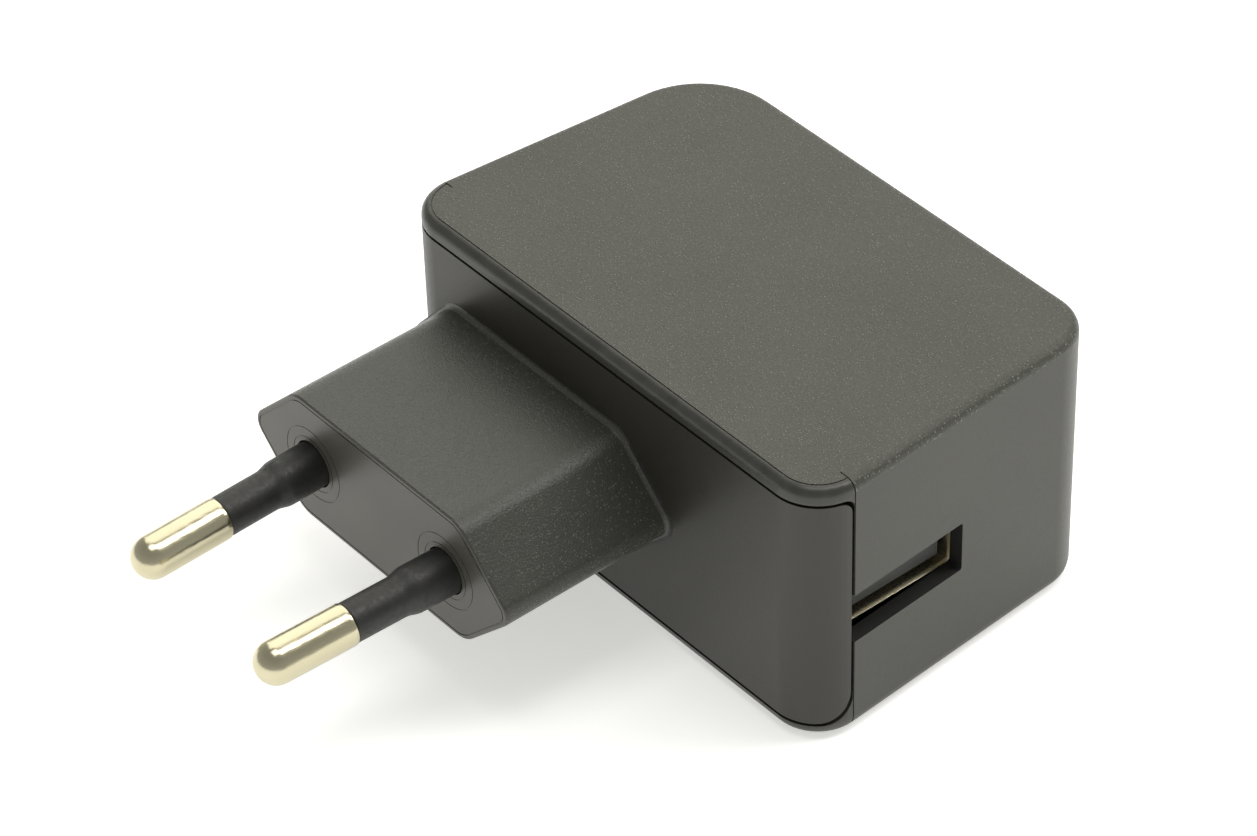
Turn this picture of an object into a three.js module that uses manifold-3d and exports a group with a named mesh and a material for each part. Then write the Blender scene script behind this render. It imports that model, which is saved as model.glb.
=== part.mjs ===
// Plug-in USB wall charger: a two-part moulded housing with a flat two-pin mains plug nose,
// and inside it a flyback power supply on one circuit board with a USB-A receptacle.
// Millimetres, +Z up. The charger lies on its broad underside, the pins point along -Y and the
// receptacle opens towards +X. The origin is under the middle of the whole object.
import * as THREE from 'three';
import { mergeVertices } from 'three/addons/utils/BufferGeometryUtils.js';
import Module from 'manifold-3d';

const wasm = await Module();
wasm.setup();

// ---------------------------------------------------------------- driving dimensions
// Housing
const bodyWidth = 55.2;
const bodyDepth = 34.1;
const bodyHeight = 28.0;
const plainSideDraft = 0.091; // what the side away from the socket loses per millimetre rearwards
const socketSideDraft = 0.055; // the same for the side with the socket
const frontCornerRadius = 4.6;
const rearCornerPlain = 8.4;
const rearCornerSocket = 4.8;
const topEdgeRound = 1.0;
const bottomEdgeRound = 1.6;
const wall = 1.5;
const seamOffset = 4.6; // from the front face back to the seam on the sides
const seamRadiusTop = 1.2;
const seamRadiusBottom = 3.0;
const rimWall = 1.2;
const rimReach = 1.5;
const coverWall = 2.0;
const postRadius = 1.6;

// Plug nose and pins
const noseHeight = 13.4;
const noseFlat = 22.8; // width of the flat top and underside, measured to the flanks' sharp corners
const noseCornerRadius = 3.0;
const noseTipRadius = 1.7;
const noseDepth = 17.8;
const noseOffsetX = -8.6;
const noseDrop = 0.3; // from the middle of the housing's height down to the pins' axes
const noseWall = 1.8;
const noseFaceWall = 4.0;
const pinDiameter = 4.0;
const pinLength = 19.5;
const pinSpacingAtFace = 18.4;
const pinSpacingAtTip = 17.3;
const pinBareLength = 9.2;
const pinNeckDiameter = 2.6;
const pinTailLength = 3.0;
const sleeveDiameter = 3.75;
const collarDiameter = 4.35;
const collarLength = 3.6;
const stripSheet = 0.5; // the bent spring strips that lead from the pins to the board
const stripMargin = 0.5; // by which a strip is wider than a pin's neck, at either side
const stripBend = 1.2;
const stripLegWidth = 1.2;
const stripFootSetback = 2.0; // from the board's front edge

// Circuit board
const boardThickness = 1.6;
const boardMargin = 0.3;
const leadDiameter = 0.6;
const leadReach = 0.8; // by which leads come out under the board

// USB-A receptacle
const shellWidth = 13.1;
const shellHeight = 5.7;
const shellDepth = 14.0;
const shellSheet = 0.3;
const shellSeamGap = 0.1; // from the side seam to the shell
const shellDrop = 4.0; // from the middle of the housing's height down to the shell's underside
const shellLegWidth = 1.6;
const shellLegFront = 4.0; // from the shell's mouth to its front legs
const shellLegRear = 3.0; // from the shell's rear edge to its rear legs
const leafWidth = 2.2; // the sprung leaves cut free in the shell
const leafLength = 5.5;
const leafSetback = 3.0;
const leafSlotWidth = 0.35;
const openingOverlap = 0.22; // by which the housing covers the shell's edges round its mouth
const tongueWidth = 11.1;
const tongueThickness = 1.84;
const tongueSetback = 0.55;
const tongueLift = 0.66; // from the shell's floor up to the tongue
const insulatorDepth = 3.6;
const contactWidth = 1.0;
const contactSheet = 0.25;
const contactPitchInner = 2.0;
const contactPitchOuter = 2.5;
const contactBow = 0.45;
const contactBowLength = 1.0;
const contactBowSetback = 2.0;
const contactBend = 0.4;
const contactSeat = 0.45; // from the tongue's top down to the middle of a contact at rest
const channelDepth = 0.95;
const channelSetback = 0.9; // from the tongue's front edge to the contacts' channels
const tailSetback = 0.9; // from the shell's rear edge back to the contact tails

// Transformer: an EE core lying flat, its legs along X
const coreLength = 16.0;
const coreWidth = 16.0;
const coreThickness = 5.0;
const coreBack = 2.3;
const coreOuterLeg = 2.1;
const coreCentreLeg = 4.0;
const coreJointGap = 0.3;
const bobbinSheet = 0.65;
const flangeThickness = 0.8;
const windingHeight = 11.9;
const bobbinRailHeight = 2.8;
const tapeThickness = 0.25;
const bobbinPinPitch = 3.6;
const bobbinPinsPerSide = 4;

// Parts that stand on the board
const inputCan = { radius: 4.0, height: 12.0, pitch: 3.5 };
const outputCan = { radius: 2.5, height: 11.0, pitch: 2.0 };
const supplyCan = { radius: 2.0, height: 7.0, pitch: 1.5 };
const canCrimp = 0.3;
const crimpStart = 1.2; // from a can's foot up to the groove round it
const crimpWidth = 0.8;
const chokeRadius = 3.0;
const chokeHeight = 7.5;
const chokeFlange = 1.0;
const chokeWaist = 0.5;
const chokePitch = 3.0;
const fuseRadius = 1.6;
const fuseLength = 8.0;
const fuseCapLength = 1.4;
const fuseWaist = 0.25;
const fuseLeadRun = 1.2; // from the end of the fusible resistor out to its bent lead
const discRadius = 3.2;
const discThickness = 2.4;
const discEdge = 0.6;
const discLift = 1.0;
const discPitch = 5.0;
const barrierThickness = 0.4;
const barrierHeadroom = 3.5; // from the barrier's top edge up to the inside of the housing
const partSpacing = 0.6; // the least room between two parts on the board

// Parts soldered under the board: length, width and height, and the foot at either end
const bridgeSize = [4.7, 3.9, 2.5];
const bridgeFoot = 1.1;
const snubberDiodeSize = [4.3, 2.6, 2.1];
const snubberDiodeFoot = 0.4;
const outputDiodeSize = [4.3, 3.6, 2.2];
const outputDiodeFoot = 0.5;
const largeResistorSize = [3.2, 1.6, 0.6];
const smallResistorSize = [2.0, 1.25, 0.6];
const smallCapacitorSize = [2.0, 1.25, 0.8];
const footLift = 0.2; // from the board to the body of a part with feet
const footShare = 0.8; // share of the body's width that a foot takes
const controllerSize = [4.9, 3.9, 1.45];
const controllerStandoff = 0.15;
const controllerSpan = 6.0;
const controllerPitch = 1.27;
const controllerLegsPerSide = 4;
const controllerLegWidth = 0.4;
const controllerLegHeight = 0.9;

// Clearances
const fitGap = 0.3; // between moulded parts
const seatGap = 0.15; // under what is soldered or pressed on
const slideGap = 0.2; // round what passes through a hole
const sunk = 1.0; // by which one solid runs into another that it is joined to
const past = 1.0; // by which a cutter runs past what it cuts

// Fineness of round work
const smallestRound = 0.5;
const cornerSteps = 7;
const roundSteps = 3;
const pinSides = 20;
const leadSides = 6;
const canSides = 20;

// The two ends of the housing in X
const PLAIN_SIDE = -1;
const SOCKET_SIDE = 1;

// ---------------------------------------------------------------- places worked out from them
const overallLength = bodyDepth + noseDepth + pinLength;
const rearY = overallLength / 2;
const frontY = rearY - bodyDepth;
const noseFaceY = frontY - noseDepth;
const seamY = frontY + seamOffset;
const floorZ = wall;
const ceilingZ = bodyHeight - wall;
const noseCentreZ = bodyHeight / 2 - noseDrop;
const shellBaseZ = bodyHeight / 2 - shellDrop;
const boardTop = shellBaseZ - seatGap;
const boardBottom = boardTop - boardThickness;
const barrierHeight = ceilingZ - barrierHeadroom - boardTop - seatGap;
const boardInset = wall + fitGap + rimWall + boardMargin;
const boardFrontY = frontY + boardInset;
const boardRearY = rearY - boardInset;
const shellY0 = seamY + shellSeamGap;
const shellY1 = shellY0 + shellWidth;
const shellMidY = (shellY0 + shellY1) / 2;
const shellMouthX = sideAt(SOCKET_SIDE, shellY1, wall) - seatGap;
const shellRearX = shellMouthX - shellDepth;
const shellTopZ = shellBaseZ + shellHeight;
const pinRootX = [-1, 1].map((side) => noseOffsetX + (side * pinSpacingAtFace) / 2);
const pinTilt = Math.atan((pinSpacingAtFace - pinSpacingAtTip) / 2 / pinLength);

// ---------------------------------------------------------------- finishes
function finish(color, roughness, metalness = 0) {
  return new THREE.MeshStandardMaterial({ color, roughness, metalness });
}

const housingPlastic = finish(0x4c4c46, 0.6);
const coverPlastic = finish(0x45453f, 0.55);
const sleevePlastic = finish(0x1c1c1b, 0.6);
const nickel = finish(0xd8d2bc, 0.2, 1);
const tinnedSheet = finish(0xc9c9c4, 0.3, 1);
const goldPlate = finish(0xcaa24a, 0.3, 1);
const glassEpoxy = finish(0x1f5b38, 0.5);
const greyInsulator = finish(0x3f4042, 0.6);
const ferrite = finish(0x2b2a2a, 0.7);
const blackEpoxy = finish(0x202124, 0.5);
const bobbinPlastic = finish(0x18191a, 0.5);
const copper = finish(0xb4652d, 0.35, 1);
const yellowTape = finish(0xd9b321, 0.4);
const canSleeve = finish(0x20304f, 0.4);
const blueCeramic = finish(0x2a64a8, 0.4);
const greenResistor = finish(0x4c7f58, 0.5);
const heatShrink = finish(0x1b1b1d, 0.5);
const clearFilm = finish(0xd8d5c4, 0.4);
const chipCeramic = finish(0xa08361, 0.5);

// ---------------------------------------------------------------- shapes and solids
// Where a side face stands in X at a place y, inside a skin of the given thickness.
function sideAt(side, y, inset) {
  const draft = side === SOCKET_SIDE ? socketSideDraft : plainSideDraft;
  return side * (bodyWidth / 2 - draft * (y - frontY) - inset * Math.hypot(1, draft));
}

// A closed outline through the corners, taken anticlockwise, each rounded by its own radius.
function roundedOutline(corners, radii) {
  const points = corners.flatMap((corner, i) => {
    const here = new THREE.Vector2(...corner);
    const incoming = here.clone().sub(new THREE.Vector2(...corners.at(i - 1))).normalize();
    const outgoing = new THREE.Vector2(...corners[(i + 1) % corners.length]).sub(here).normalize();
    if (radii[i] <= 0) {
      return [here];
    }
    const turn = Math.acos(THREE.MathUtils.clamp(incoming.dot(outgoing), -1, 1));
    const inward = outgoing.clone().sub(incoming).normalize();
    const centre = here.clone().addScaledVector(inward, radii[i] / Math.cos(turn / 2));
    const first = Math.atan2(-incoming.x, incoming.y);
    return Array.from({ length: cornerSteps + 1 }, (_, k) => {
      const angle = first + (turn * k) / cornerSteps;
      return new THREE.Vector2(Math.cos(angle), Math.sin(angle)).multiplyScalar(radii[i]).add(centre);
    });
  });
  return new THREE.Shape(points);
}

// The solid inside a closed three.js geometry.
function toSolid(geometry) {
  const bare = geometry.clone();
  bare.deleteAttribute('normal');
  bare.deleteAttribute('uv');
  const merged = mergeVertices(bare, 1e-4);
  return new wasm.Manifold(
    new wasm.Mesh({
      numProp: 3,
      vertProperties: new Float32Array(merged.attributes.position.array),
      triVerts: new Uint32Array(merged.index.array),
    }),
  );
}

function joined(...solids) {
  return solids.reduce((sum, solid) => sum.add(solid));
}

function without(solid, ...cutters) {
  return cutters.reduce((rest, cutter) => rest.subtract(cutter), solid);
}

// A named mesh from a solid.
function part(name, solid, material) {
  const mesh = solid.getMesh();
  const geometry = new THREE.BufferGeometry();
  geometry.setAttribute('position', new THREE.BufferAttribute(new Float32Array(mesh.vertProperties), 3));
  geometry.setIndex(new THREE.BufferAttribute(new Uint32Array(mesh.triVerts), 1));
  geometry.computeVertexNormals();
  const node = new THREE.Mesh(geometry, material);
  node.name = name;
  return node;
}

// A box between two opposite corners.
function block([x0, y0, z0], [x1, y1, z1]) {
  const geometry = new THREE.BoxGeometry(x1 - x0, y1 - y0, z1 - z0);
  return toSolid(geometry.translate((x0 + x1) / 2, (y0 + y1) / 2, (z0 + z1) / 2));
}

// An outline drawn in (x, y), raised from z0 to z1.
function prismUp(outline, z0, z1) {
  const geometry = new THREE.ExtrudeGeometry(outline, { depth: z1 - z0, bevelEnabled: false });
  return toSolid(geometry.translate(0, 0, z0));
}

// An outline drawn in (y, z), carried from x0 to x1.
function prismAcross(outline, x0, x1) {
  const geometry = new THREE.ExtrudeGeometry(outline, { depth: x1 - x0, bevelEnabled: false });
  const turn = new THREE.Matrix4().makeBasis(
    new THREE.Vector3(0, 1, 0),
    new THREE.Vector3(0, 0, 1),
    new THREE.Vector3(1, 0, 0),
  );
  return toSolid(geometry.applyMatrix4(turn).translate(x0, 0, 0));
}

// An outline drawn in (x, z), carried from y0 to y1.
function prismAlong(outline, y0, y1) {
  const geometry = new THREE.ExtrudeGeometry(outline, { depth: y1 - y0, bevelEnabled: false });
  return toSolid(geometry.rotateX(Math.PI / 2).translate(0, y1, 0));
}

// An upright round bar.
function upright(x, y, z0, z1, radius, sides) {
  const geometry = new THREE.CylinderGeometry(radius, radius, z1 - z0, sides);
  return toSolid(geometry.rotateX(Math.PI / 2).translate(x, y, (z0 + z1) / 2));
}

// A turned body from a profile of [radius, height] pairs, standing on z = 0.
function turned(profile, sides) {
  const points = profile.map(([radius, height]) => new THREE.Vector2(radius, height));
  return new THREE.LatheGeometry(points, sides).rotateX(Math.PI / 2);
}

// A strip of sheet metal that follows a bent line drawn in a plane, as an outline.
function stripOutline(line, thickness) {
  const points = line.map((point) => new THREE.Vector2(...point));
  const side = (sign) =>
    points.map((here, i) => {
      const before = points[Math.max(i - 1, 0)];
      const after = points[Math.min(i + 1, points.length - 1)];
      const inDirection = (i === 0 ? after.clone().sub(here) : here.clone().sub(before)).normalize();
      const outDirection = (here === after ? inDirection.clone() : after.clone().sub(here)).normalize();
      const tangent = inDirection.clone().add(outDirection).normalize();
      const reach = thickness / 2 / tangent.dot(inDirection);
      return new THREE.Vector2(-tangent.y, tangent.x).multiplyScalar(sign * reach).add(here);
    });
  return new THREE.Shape([...side(-1), ...side(1).reverse()]);
}

// ---------------------------------------------------------------- housing
// The plan of the housing inside a skin of the given thickness.
function planOutline(inset) {
  const front = frontY + inset;
  const rear = rearY - inset;
  const corners = [
    [sideAt(PLAIN_SIDE, front, inset), front],
    [sideAt(SOCKET_SIDE, front, inset), front],
    [sideAt(SOCKET_SIDE, rear, inset), rear],
    [sideAt(PLAIN_SIDE, rear, inset), rear],
  ];
  const radii = [frontCornerRadius, frontCornerRadius, rearCornerSocket, rearCornerPlain];
  return roundedOutline(corners, radii.map((radius) => Math.max(radius - inset, smallestRound)));
}

// The plan raised from z0 to z1 with both its edges rounded off.
function roundedSlab(z0, z1, round) {
  const geometry = new THREE.ExtrudeGeometry(planOutline(0), {
    depth: z1 - z0 - 2 * round,
    bevelThickness: round,
    bevelSize: round,
    bevelOffset: -round,
    bevelSegments: roundSteps,
  });
  return toSolid(geometry.translate(0, 0, z0 + round));
}

// The whole outer form: the top and the underside have edges of different roundness.
function outerBody() {
  const upper = roundedSlab(-bodyHeight, bodyHeight, topEdgeRound);
  const lower = roundedSlab(0, 2 * bodyHeight, bottomEdgeRound);
  return upper.intersect(lower);
}

// The side view of the space that the front cover fills, drawn in (y, z).
function coverOutline(gap) {
  const ahead = frontY - bodyDepth;
  const bottom = floorZ + gap;
  const top = ceilingZ - gap;
  const back = seamY - gap;
  return roundedOutline(
    [[ahead, bottom], [back, bottom], [back, top], [ahead, top]],
    [0, seamRadiusBottom, seamRadiusTop, 0],
  );
}

// Round posts, half sunk in the side walls, that carry the edges of the board.
function postPlaces() {
  const rear = rearY - rearCornerPlain;
  const middle = (seamY + rear) / 2;
  const sides = [PLAIN_SIDE, SOCKET_SIDE];
  return [rear, middle].flatMap((y) => sides.map((side) => [sideAt(side, y, wall + postRadius / 2), y]));
}

function rearHousing() {
  const cavity = prismUp(planOutline(wall), floorZ, ceilingZ);
  const coverSpace = prismAcross(coverOutline(0), -bodyWidth, bodyWidth);
  const opening = block(
    [shellMouthX - wall, frontY, shellBaseZ + openingOverlap],
    [bodyWidth, shellY1 - openingOverlap, shellTopZ - openingOverlap],
  );
  const shell = without(outerBody(), cavity, coverSpace, opening);
  const posts = postPlaces().map(([x, y]) =>
    upright(x, y, floorZ - fitGap, boardBottom - seatGap, postRadius, canSides / 2),
  );
  return joined(shell, ...posts);
}

// The flat six-sided section of the plug nose, its flanks at 45 degrees, drawn in (x, z).
function noseOutline(inset) {
  const halfHeight = noseHeight / 2 - inset;
  const halfFlat = noseFlat / 2 - inset * (Math.SQRT2 - 1);
  const halfWidth = halfFlat + halfHeight;
  const corners = [
    [halfFlat, -halfHeight],
    [halfWidth, 0],
    [halfFlat, halfHeight],
    [-halfFlat, halfHeight],
    [-halfWidth, 0],
    [-halfFlat, -halfHeight],
  ].map(([x, z]) => [x + noseOffsetX, z + noseCentreZ]);
  const corner = Math.max(noseCornerRadius - inset, smallestRound);
  const tip = Math.max(noseTipRadius - inset, smallestRound);
  return roundedOutline(corners, [corner, tip, corner, corner, tip, corner]);
}

// Puts a body turned about +Z on a pin's axis: its z = 0 end at the plug face, +z towards the tip.
function onPinAxis(geometry, index) {
  const tilt = index === 0 ? pinTilt : -pinTilt;
  return geometry.rotateX(Math.PI / 2).rotateZ(tilt).translate(pinRootX[index], noseFaceY, noseCentreZ);
}

function frontCover() {
  const far = bodyWidth;
  const face = outerBody().intersect(prismAcross(coverOutline(fitGap), -far, far));
  const rimZ0 = floorZ + fitGap + seatGap;
  const rimZ1 = ceilingZ - fitGap - seatGap;
  const rimEnd = seamY + rimReach;
  const rimBlock = block([-far, frontY, rimZ0], [far, rimEnd, rimZ1]);
  const rim = prismUp(planOutline(wall + fitGap), rimZ0, rimZ1).intersect(rimBlock);
  const insideBlock = block([-far, frontY + coverWall, 0], [far, rearY, bodyHeight]);
  const insidePlan = planOutline(wall + fitGap + rimWall);
  const inside = prismUp(insidePlan, rimZ0 + rimWall, rimZ1 - rimWall).intersect(insideBlock);
  const shellSpace = block(
    [shellRearX - fitGap, shellY0 - fitGap, shellBaseZ - fitGap],
    [far, rearY, shellTopZ + fitGap],
  );
  const nose = prismAlong(noseOutline(0), noseFaceY, frontY + coverWall);
  const noseHollow = prismAlong(noseOutline(noseWall), noseFaceY + noseFaceWall, frontY + 2 * coverWall);
  const holes = pinRootX.map((_, index) => {
    const radius = collarDiameter / 2 + slideGap;
    const far = -2 * noseFaceWall;
    const hole = turned([[0, far], [radius, far], [radius, past], [0, past]], pinSides);
    return toSolid(onPinAxis(hole, index));
  });
  return without(joined(face, rim, nose), inside, noseHollow, shellSpace, ...holes);
}

// ---------------------------------------------------------------- plug pins
function pin(index) {
  const radius = pinDiameter / 2;
  const neck = pinNeckDiameter / 2;
  const bareStart = pinLength - pinBareLength;
  const tail = -noseFaceWall - pinTailLength;
  const dome = Array.from({ length: roundSteps * 2 }, (_, k) => {
    const angle = ((k + 1) / (roundSteps * 2)) * (Math.PI / 2);
    return [radius * Math.cos(angle), pinLength - radius + radius * Math.sin(angle)];
  });
  dome.at(-1)[0] = 0;
  const shank = [[0, tail], [neck, tail], [neck, bareStart], [radius, bareStart]];
  const profile = [...shank, [radius, pinLength - radius], ...dome];
  return toSolid(onPinAxis(turned(profile, pinSides), index));
}

function pinSleeve(index) {
  const bore = pinNeckDiameter / 2 + slideGap;
  const slim = sleeveDiameter / 2;
  const wide = collarDiameter / 2;
  const end = pinLength - pinBareLength - seatGap;
  const profile = [
    [bore, -noseFaceWall + slideGap],
    [wide, -noseFaceWall + slideGap],
    [wide, collarLength],
    [slim, collarLength + (wide - slim) * 2],
    [slim, end],
    [bore, end],
    [bore, -noseFaceWall + slideGap],
  ];
  return toSolid(onPinAxis(turned(profile, pinSides), index));
}

// A bent spring strip from the board that presses on the underside of a pin's tail.
function contactStrip(index) {
  const x = pinRootX[index];
  const halfWidth = pinNeckDiameter / 2 + stripMargin;
  const underTail = noseCentreZ - pinNeckDiameter / 2 - slideGap - stripSheet / 2;
  const start = noseFaceY + noseFaceWall + 2 * slideGap;
  const line = [
    [start, underTail - stripSheet - slideGap],
    [start + stripBend, underTail],
    [stripFootY - stripBend, underTail],
    [stripFootY, underTail - stripBend],
    [stripFootY, boardTop + seatGap],
  ];
  const spring = prismAcross(stripOutline(line, stripSheet), x - halfWidth, x + halfWidth);
  const leg = block(
    [x - stripLegWidth / 2, stripFootY - stripSheet / 2, boardBottom - leadReach],
    [x + stripLegWidth / 2, stripFootY + stripSheet / 2, boardTop + sunk],
  );
  return joined(spring, leg);
}

// ---------------------------------------------------------------- USB receptacle
const contactY = [
  -contactPitchInner / 2 - contactPitchOuter,
  -contactPitchInner / 2,
  contactPitchInner / 2,
  contactPitchInner / 2 + contactPitchOuter,
].map((offset) => shellMidY + offset);
const tongueBottomZ = shellBaseZ + shellSheet + tongueLift;
const tongueTopZ = tongueBottomZ + tongueThickness;
const tongueFrontX = shellMouthX - tongueSetback;
const insulatorRearX = shellRearX + seatGap;
const insulatorFrontX = insulatorRearX + insulatorDepth;
const tailX = shellRearX - tailSetback;
const shellLegX = [shellMouthX - shellLegFront, shellRearX + shellLegRear];
const shellLegY = [shellY0 + shellSheet / 2, shellY1 - shellSheet / 2];

// A U-shaped slot that frees a spring leaf in the shell's top or bottom sheet.
function leafSlot(midY, z0, z1) {
  const halfSlot = leafSlotWidth / 2;
  const edge = leafWidth / 2 + halfSlot;
  const tipX = shellMouthX - leafSetback;
  const across = block(
    [tipX - leafSlotWidth, midY - edge - halfSlot, z0],
    [tipX, midY + edge + halfSlot, z1],
  );
  const sides = [midY - edge, midY + edge].map((y) =>
    block([tipX - leafLength, y - halfSlot, z0], [tipX, y + halfSlot, z1]),
  );
  return joined(across, ...sides);
}

function usbShell() {
  const outer = block([shellRearX, shellY0, shellBaseZ], [shellMouthX, shellY1, shellTopZ]);
  const bore = block(
    [shellRearX - past, shellY0 + shellSheet, shellBaseZ + shellSheet],
    [shellMouthX + past, shellY1 - shellSheet, shellTopZ - shellSheet],
  );
  const leaves = [-1, 1].flatMap((side) => {
    const midY = shellMidY + (side * shellWidth) / 4;
    return [
      leafSlot(midY, shellTopZ - 2 * shellSheet, shellTopZ + past),
      leafSlot(midY, shellBaseZ - past, shellBaseZ + 2 * shellSheet),
    ];
  });
  const legs = shellLegX.flatMap((x) =>
    shellLegY.map((y) =>
      block(
        [x - shellLegWidth / 2, y - shellSheet / 2, boardBottom - leadReach],
        [x + shellLegWidth / 2, y + shellSheet / 2, shellBaseZ + sunk],
      ),
    ),
  );
  return joined(without(outer, bore, ...leaves), ...legs);
}

function usbInsulator() {
  const margin = shellSheet + seatGap;
  const rear = block(
    [insulatorRearX, shellY0 + margin, shellBaseZ + margin],
    [insulatorFrontX, shellY1 - margin, shellTopZ - margin],
  );
  const tongue = block(
    [insulatorFrontX - sunk, shellMidY - tongueWidth / 2, tongueBottomZ],
    [tongueFrontX, shellMidY + tongueWidth / 2, tongueTopZ],
  );
  const halfChannel = contactWidth / 2 + fitGap;
  const channels = contactY.map((y) =>
    block(
      [insulatorRearX - past, y - halfChannel, tongueTopZ - channelDepth],
      [tongueFrontX - channelSetback, y + halfChannel, tongueTopZ],
    ),
  );
  return without(joined(rear, tongue), ...channels);
}

// One sprung contact: a hooked tip, a bow above the tongue, and a tail down through the board.
function usbContact(index) {
  const level = tongueTopZ - contactSeat;
  const tip = tongueFrontX - channelSetback - fitGap;
  const bow = tip - contactBowSetback;
  const line = [
    [tip, level],
    [bow, tongueTopZ + contactBow],
    [bow - contactBowLength, tongueTopZ + contactBow],
    [insulatorFrontX + contactBend, level],
    [tailX + contactBend, level],
    [tailX, level - contactBend],
    [tailX, boardBottom - leadReach],
  ];
  const y = contactY[index];
  return prismAlong(stripOutline(line, contactSheet), y - contactWidth / 2, y + contactWidth / 2);
}

// ---------------------------------------------------------------- transformer
const transformerX = shellRearX - tailSetback - 3 * partSpacing - coreLength / 2;
const transformerY = boardRearY - partSpacing - coreWidth / 2;
const transformerZ = boardTop + seatGap + windingHeight / 2;
const windowHalf = coreWidth / 2 - coreOuterLeg;
const centreHalf = coreCentreLeg / 2;
const limbEnd = coreLength / 2 - coreBack;

function atTransformer([x0, y0, z0], [x1, y1, z1]) {
  const at = (x, y, z) => [transformerX + x, transformerY + y, transformerZ + z];
  return block(at(x0, y0, z0), at(x1, y1, z1));
}

function coreHalf(side) {
  const half = coreThickness / 2;
  const limb = (y0, y1) => {
    const ends = [(side * coreJointGap) / 2, side * (limbEnd + sunk)].sort((a, b) => a - b);
    return atTransformer([ends[0], y0, -half], [ends[1], y1, half]);
  };
  const ends = [side * limbEnd, (side * coreLength) / 2].sort((a, b) => a - b);
  const back = atTransformer([ends[0], -coreWidth / 2, -half], [ends[1], coreWidth / 2, half]);
  return joined(
    back,
    limb(-centreHalf, centreHalf),
    limb(windowHalf, coreWidth / 2),
    limb(-coreWidth / 2, -windowHalf),
  );
}

const bobbinPinY = Array.from(
  { length: bobbinPinsPerSide },
  (_, k) => (k - (bobbinPinsPerSide - 1) / 2) * bobbinPinPitch,
);
const bobbinPinX = [-1, 1].map((side) => transformerX + side * (limbEnd + coreBack / 2));

function bobbin() {
  const length = limbEnd - fitGap;
  const boreY = centreHalf + fitGap;
  const boreZ = coreThickness / 2 + fitGap;
  const flangeY = windowHalf - fitGap;
  const flangeZ = windingHeight / 2;
  const tube = atTransformer(
    [-length, -boreY - bobbinSheet, -boreZ - bobbinSheet],
    [length, boreY + bobbinSheet, boreZ + bobbinSheet],
  );
  const bore = atTransformer([-coreLength, -boreY, -boreZ], [coreLength, boreY, boreZ]);
  const ends = [-1, 1].map((side) => {
    const x = [side * (length - flangeThickness), side * length].sort((a, b) => a - b);
    const railX = [x[0], side * (coreLength / 2 - slideGap), x[1]].sort((a, b) => a - b);
    const flange = atTransformer([x[0], -flangeY, -flangeZ], [x[1], flangeY, flangeZ]);
    const rail = atTransformer(
      [railX[0], -flangeY - flangeThickness, -flangeZ],
      [railX[2], flangeY + flangeThickness, -flangeZ + bobbinRailHeight],
    );
    return joined(flange, rail);
  });
  const pins = bobbinPinX.flatMap((x) =>
    bobbinPinY.map((y) =>
      upright(x, transformerY + y, boardBottom - leadReach, boardTop + sunk, leadDiameter / 2, leadSides),
    ),
  );
  return joined(without(joined(tube, ...ends), bore), ...pins);
}

// A rectangular sleeve round the bobbin's tube, between two rings.
function wrap(halfLength, inner, outer) {
  return without(
    atTransformer([-halfLength, -outer.y, -outer.z], [halfLength, outer.y, outer.z]),
    atTransformer([-coreLength, -inner.y, -inner.z], [coreLength, inner.y, inner.z]),
  );
}

const windingOuter = {
  y: windowHalf - 2 * fitGap - tapeThickness,
  z: windingHeight / 2 - fitGap - tapeThickness,
};
const windingHalfLength = limbEnd - fitGap - flangeThickness - slideGap;

function winding() {
  const inner = {
    y: centreHalf + fitGap + bobbinSheet + slideGap,
    z: coreThickness / 2 + fitGap + bobbinSheet + slideGap,
  };
  return wrap(windingHalfLength, inner, windingOuter);
}

function windingTape() {
  const inner = { y: windingOuter.y + seatGap, z: windingOuter.z + seatGap };
  const outer = { y: inner.y + tapeThickness, z: inner.z + tapeThickness };
  return wrap(windingHalfLength, inner, outer);
}

function coreTape() {
  const halfHeight = coreThickness / 3;
  const innerX = coreLength / 2 + seatGap;
  const innerY = coreWidth / 2 + seatGap;
  const outerX = innerX + tapeThickness;
  const outerY = innerY + tapeThickness;
  return without(
    atTransformer([-outerX, -outerY, -halfHeight], [outerX, outerY, halfHeight]),
    atTransformer([-innerX, -innerY, -coreThickness], [innerX, innerY, coreThickness]),
  );
}

// ---------------------------------------------------------------- parts on top of the board
// Each stands at (x, y), with leads through the board at the given offsets from there.
const stripFootY = boardFrontY + stripFootSetback;
const inputCanX = sideAt(PLAIN_SIDE, boardRearY, boardInset) + inputCan.radius + partSpacing / 2;
const inputCanY = stripFootY + stripSheet + 2 * partSpacing + inputCan.radius;
const inputCansEndX = inputCanX + inputCan.radius;
const chokeX = inputCansEndX + chokeRadius + partSpacing;
const chokeY = transformerY - coreWidth / 2 - chokeRadius - partSpacing;
const outputCanX = shellRearX + outputCan.radius;
const outputCanY = shellY1 + outputCan.radius + 2 * partSpacing;
const discX = outputCanX + outputCan.radius;
const discY = outputCanY + outputCan.radius + discThickness / 2 + partSpacing;
const alongY = (pitch) => [[0, -pitch / 2], [0, pitch / 2]];
const alongX = (pitch) => [[-pitch / 2, 0], [pitch / 2, 0]];
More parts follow.
